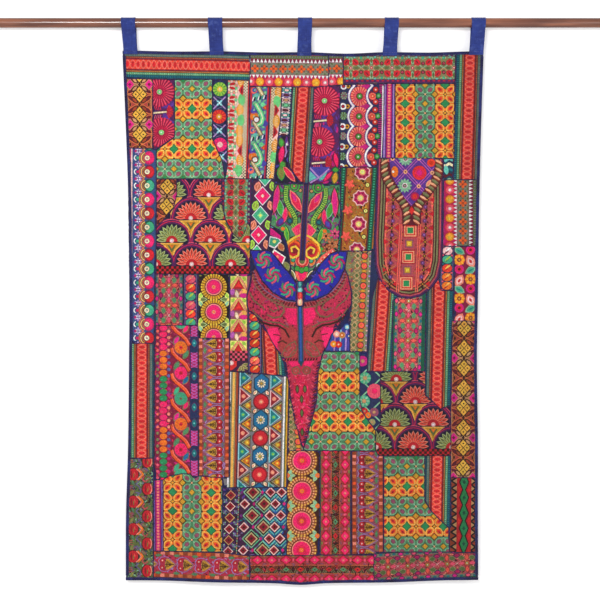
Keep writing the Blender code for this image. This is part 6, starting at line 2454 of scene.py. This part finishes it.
class Stitches:
    """Short raised stitches, gathered into one mesh."""

    def __init__(self, seed):
        self.points, self.faces, self.tints, self.lays = [], [], [], []
        self.chance = random.Random(seed)

    def add(self, p, q, out, width, lift, colour):
        """One stitch from p to q. out is the way that it stands off the cloth."""
        p, q, out = np.array(p), np.array(q), np.array(out, dtype=float)
        side = np.cross(q - p, out)
        side /= max(np.linalg.norm(side), 1e-9)
        thin, wide = side * width / 4, side * width / 2
        middle = (p + q) / 2 + out * lift
        corners = (p - thin, p + thin, middle + wide, q + thin, q - thin, middle - wide)
        first, count = len(self.points), len(corners) + 1
        top = first + count - 1
        self.points += [tuple(v) for v in (*corners, middle + out * lift / 2)]
        rim = list(range(first, top))
        self.faces += [(a, b, top) for a, b in edges(rim)]
        self.faces.append(tuple(rim[::-1]))
        shade = 1 + self.chance.uniform(-STITCH_SPREAD, STITCH_SPREAD)
        self.tints += [tuple(min(c * shade, 1.0) for c in LINEAR[colour])] * count
        self.lays += [tuple(side)] * count

    def finish(self, name, finish):
        """The stitches as one mesh."""
        return new_mesh(name, self.points, self.faces, finish, self.tints, self.lays)


# How much lighter or darker one stitch is than another
STITCH_SPREAD = 0.2
# Each kind of stitch's width and lift
BACK_STITCH = (0.0011, 0.0004)
BINDING_STITCH = (0.0007, 0.0003)
TAB_STITCH = (0.0007, 0.0004)

# How far apart the back's stitches are in squares, and where each starts and ends, as shares of that
BACK_STITCH_PITCH = 3.4
BACK_STITCH_RUN = (0.2, 0.75)
# The binding's stitches slant between two distances from the edge, on its front and on its back
BINDING_STITCHES_PER_STEP = 1.6
BINDING_STITCH_FAR, BINDING_STITCH_NEAR = 0.0083, 0.0076
BINDING_STITCH_FACES = ((-1, -0.0040), (1, 0.0032))
# The tabs' stitches: how many in a row, how far each runs along it, and the rows' heights over the end
TAB_STITCHES = 11
TAB_STITCH_RUN, TAB_STITCH_RISE = 0.0024, 0.0002
TAB_STITCH_LIFT = 0.0002
TAB_STITCHED_SHARE = 0.92
TAB_STITCH_ROWS = (0.0015, 0.0090)


def make_back_stitches(finish):
    """The running stitches that hold the patches, as they show on the back."""
    rows = Stitches(5)
    for piece in LAYOUT:
        outline = turned_right([inside_binding(*p) for p in piece.outline])
        for p, q in edges(outline):
            count = int(math.dist(p, q) / BACK_STITCH_PITCH)
            for k in range(count):
                ends = []
                for share in BACK_STITCH_RUN:
                    u, v = between(p, q, (k + share) / count)
                    x, z = (u - MIDDLE_U) * SQUARE, (AXIS_V - v) * SQUARE
                    ends.append((x, float(cloth_depth(x, z)) + GROUND_FRONT, z))
                rows.add(*ends, (0, 1, 0), *BACK_STITCH, "lilac")
    return rows.finish("back_stitches", finish)


def make_edge_stitches(finish):
    """The hand stitches along the binding's inner edge, on both faces, and across the tabs' ends."""
    rows = Stitches(9)
    for side, steps in EDGE_STEPS.items():
        count = round(steps * BINDING_STITCHES_PER_STEP)
        for face, off in BINDING_STITCH_FACES:
            for k in range(count):
                slants = (((k + 0.15) / count, BINDING_STITCH_FAR), ((k + 0.75) / count, BINDING_STITCH_NEAR))
                ends = [by_edge(side, t, inward, BINDING_WIDTH, off) for t, inward in slants]
                rows.add(*ends, (0, face, 0), *BINDING_STITCH, "dusk")
    off = PANEL_THICKNESS / 2 + 2 * GAP + BINDING_THICKNESS + TAB_THICKNESS + TAB_STITCH_LIFT
    for tab in TABS:
        for face in (-1, 1):
            for above_end in TAB_STITCH_ROWS:
                for k in range(TAB_STITCHES):
                    x = tab.at_panel + TAB_WIDTH * ((k + 0.2) / TAB_STITCHES - 0.5) * TAB_STITCHED_SHARE
                    y = fold_depth(x, 0.0) + face * off
                    z = above_end - tab.drop - TAB_LAP
                    end = (x + TAB_STITCH_RUN, y, z + TAB_STITCH_RISE)
                    rows.add((x, y, z), end, (0, face, 0), *TAB_STITCH, "dusk")
    return rows.finish("edge_stitches", finish)


# The stage, the lights and the camera


def wall_finish():
    """Matt white with a little glow, clear from behind."""
    n = Nodes("white_wall")
    set_shader(n.shader, {
        "Base Color": WALL_WHITE, "Roughness": 0.9, "Specular IOR Level": 0.0,
        "Emission Color": (1, 1, 1, 1), "Emission Strength": WALL_GLOW,
    })
    behind = n.add("ShaderNodeNewGeometry").outputs["Backfacing"]
    clear = n.add("ShaderNodeBsdfTransparent").outputs[0]
    mix = n.add("ShaderNodeMixShader", {0: behind, 1: n.shader.outputs[0], 2: clear})
    n.tree.links.new(mix.outputs[0], n.tree.nodes["Material Output"].inputs["Surface"])
    return n.material


def make_plane(name, place, turn, scale, finish):
    """A flat piece of the stage."""
    bpy.ops.mesh.primitive_plane_add(size=1, location=place, rotation=(math.radians(turn), 0, 0))
    made = bpy.context.object
    made.name, made.scale = name, scale
    made.data.materials.append(finish)
    return made


def make_stage():
    """A white wall close behind the hanging that shows only from the front, and a pale floor."""
    wall = make_plane("wall", WALL_PLACE, 90, WALL_SIZE, wall_finish())
    for kind in ("visible_diffuse", "visible_glossy", "visible_transmission", "visible_shadow"):
        setattr(wall, kind, False)
    pale = Nodes("pale_floor")
    set_shader(pale.shader, {"Base Color": FLOOR_WHITE, "Roughness": 0.7})
    floor = make_plane("floor", FLOOR_PLACE, 0, FLOOR_SIZE, pale.material)


def make_light(light):
    """A soft oblong light turned to its target."""
    lamp = bpy.data.lights.new(light.name, "AREA")
    lamp.shape, lamp.size, lamp.size_y, lamp.energy = "RECTANGLE", light.wide, light.tall, light.power
    made = bpy.data.objects.new(light.name, lamp)
    made.location = light.place
    made.rotation_euler = (Vector(light.target) - Vector(light.place)).to_track_quat("-Z", "Y").to_euler()
    bpy.context.scene.collection.objects.link(made)


def make_lights():
    """A white world and the lights in it."""
    world = bpy.data.worlds.new("studio")
    world.use_nodes = True
    set_shader(world.node_tree.nodes["Background"], {"Color": (1, 1, 1, 1), "Strength": WORLD_LIGHT})
    bpy.context.scene.world = world
    for light in LIGHTS:
        make_light(light)


def make_camera():
    """A camera straight before the middle of the layout."""
    scene = bpy.context.scene
    scene.view_settings.view_transform = "Standard"
    camera = bpy.data.cameras.new("camera")
    camera.lens = camera.sensor_width * CAMERA_AWAY / (PICTURE_WIDTH * SQUARE)
    made = bpy.data.objects.new("camera", camera)
    made.location = ((CENTRE - MIDDLE_U) * SQUARE, -CAMERA_AWAY, (AXIS_V - CENTRE) * SQUARE)
    made.rotation_euler = (math.radians(90), 0, 0)
    scene.collection.objects.link(made)
    scene.camera = made


# The whole hanging


def make_patch(piece, finish):
    """One patch of the layout: its cloth, its trim and the cord round it."""
    settings = dict(piece.settings)
    start, end = piece.axis or ((0.0, 0.0), (1.0, 0.0))
    outline = [inside_binding(*point) for point in piece.outline]
    patch = Patch(piece.name, outline, start, end, settings.pop("flip", 1))
    patch.ground(piece.ground)
    piece.trim(patch, **settings)
    patch.cords()
    return patch.finish(finish)


def fit(made, node=None):
    """Puts a piece on the hanging's one body, and hides the solid that it stands in for, where one is named.
    """
    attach(made, "root")
    if node:
        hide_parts(node)


def main():
    """Makes the hanging, its stage, its lights and its camera."""
    thread = thread_finish()
    cotton = cotton_finish("blue_cotton", LINEAR["deep cotton"], LINEAR["cotton"], LINEAR["faded"])
    dark_cotton = cotton_finish("navy_cotton", LINEAR["ink"], LINEAR["binding"], LINEAR["cotton"])
    backing = cotton_finish("backing_cotton", LINEAR["ink"], LINEAR["navy"], LINEAR["night"])
    patches = [make_patch(piece, thread) for piece in LAYOUT]
    patches.append(make_back_stitches(thread))
    for made in patches:
        fit(made)
    ground = make_ground_cloth(backing)
    fit(ground, "panel")
    for side, long in BINDING_LENGTHS.items():
        strip = make_binding(side, dark_cotton)
        fit(strip, f"binding_{side}")
    for number, tab in enumerate(TABS, 1):
        strip, long = make_tab(number, tab, cotton)
        fit(strip, f"tab_{number}")
    fit(make_edge_stitches(thread))
    bpy.data.objects["rod"].material_slots[0].material = wood_finish()
    make_stage()
    make_lights()
    make_camera()


main()
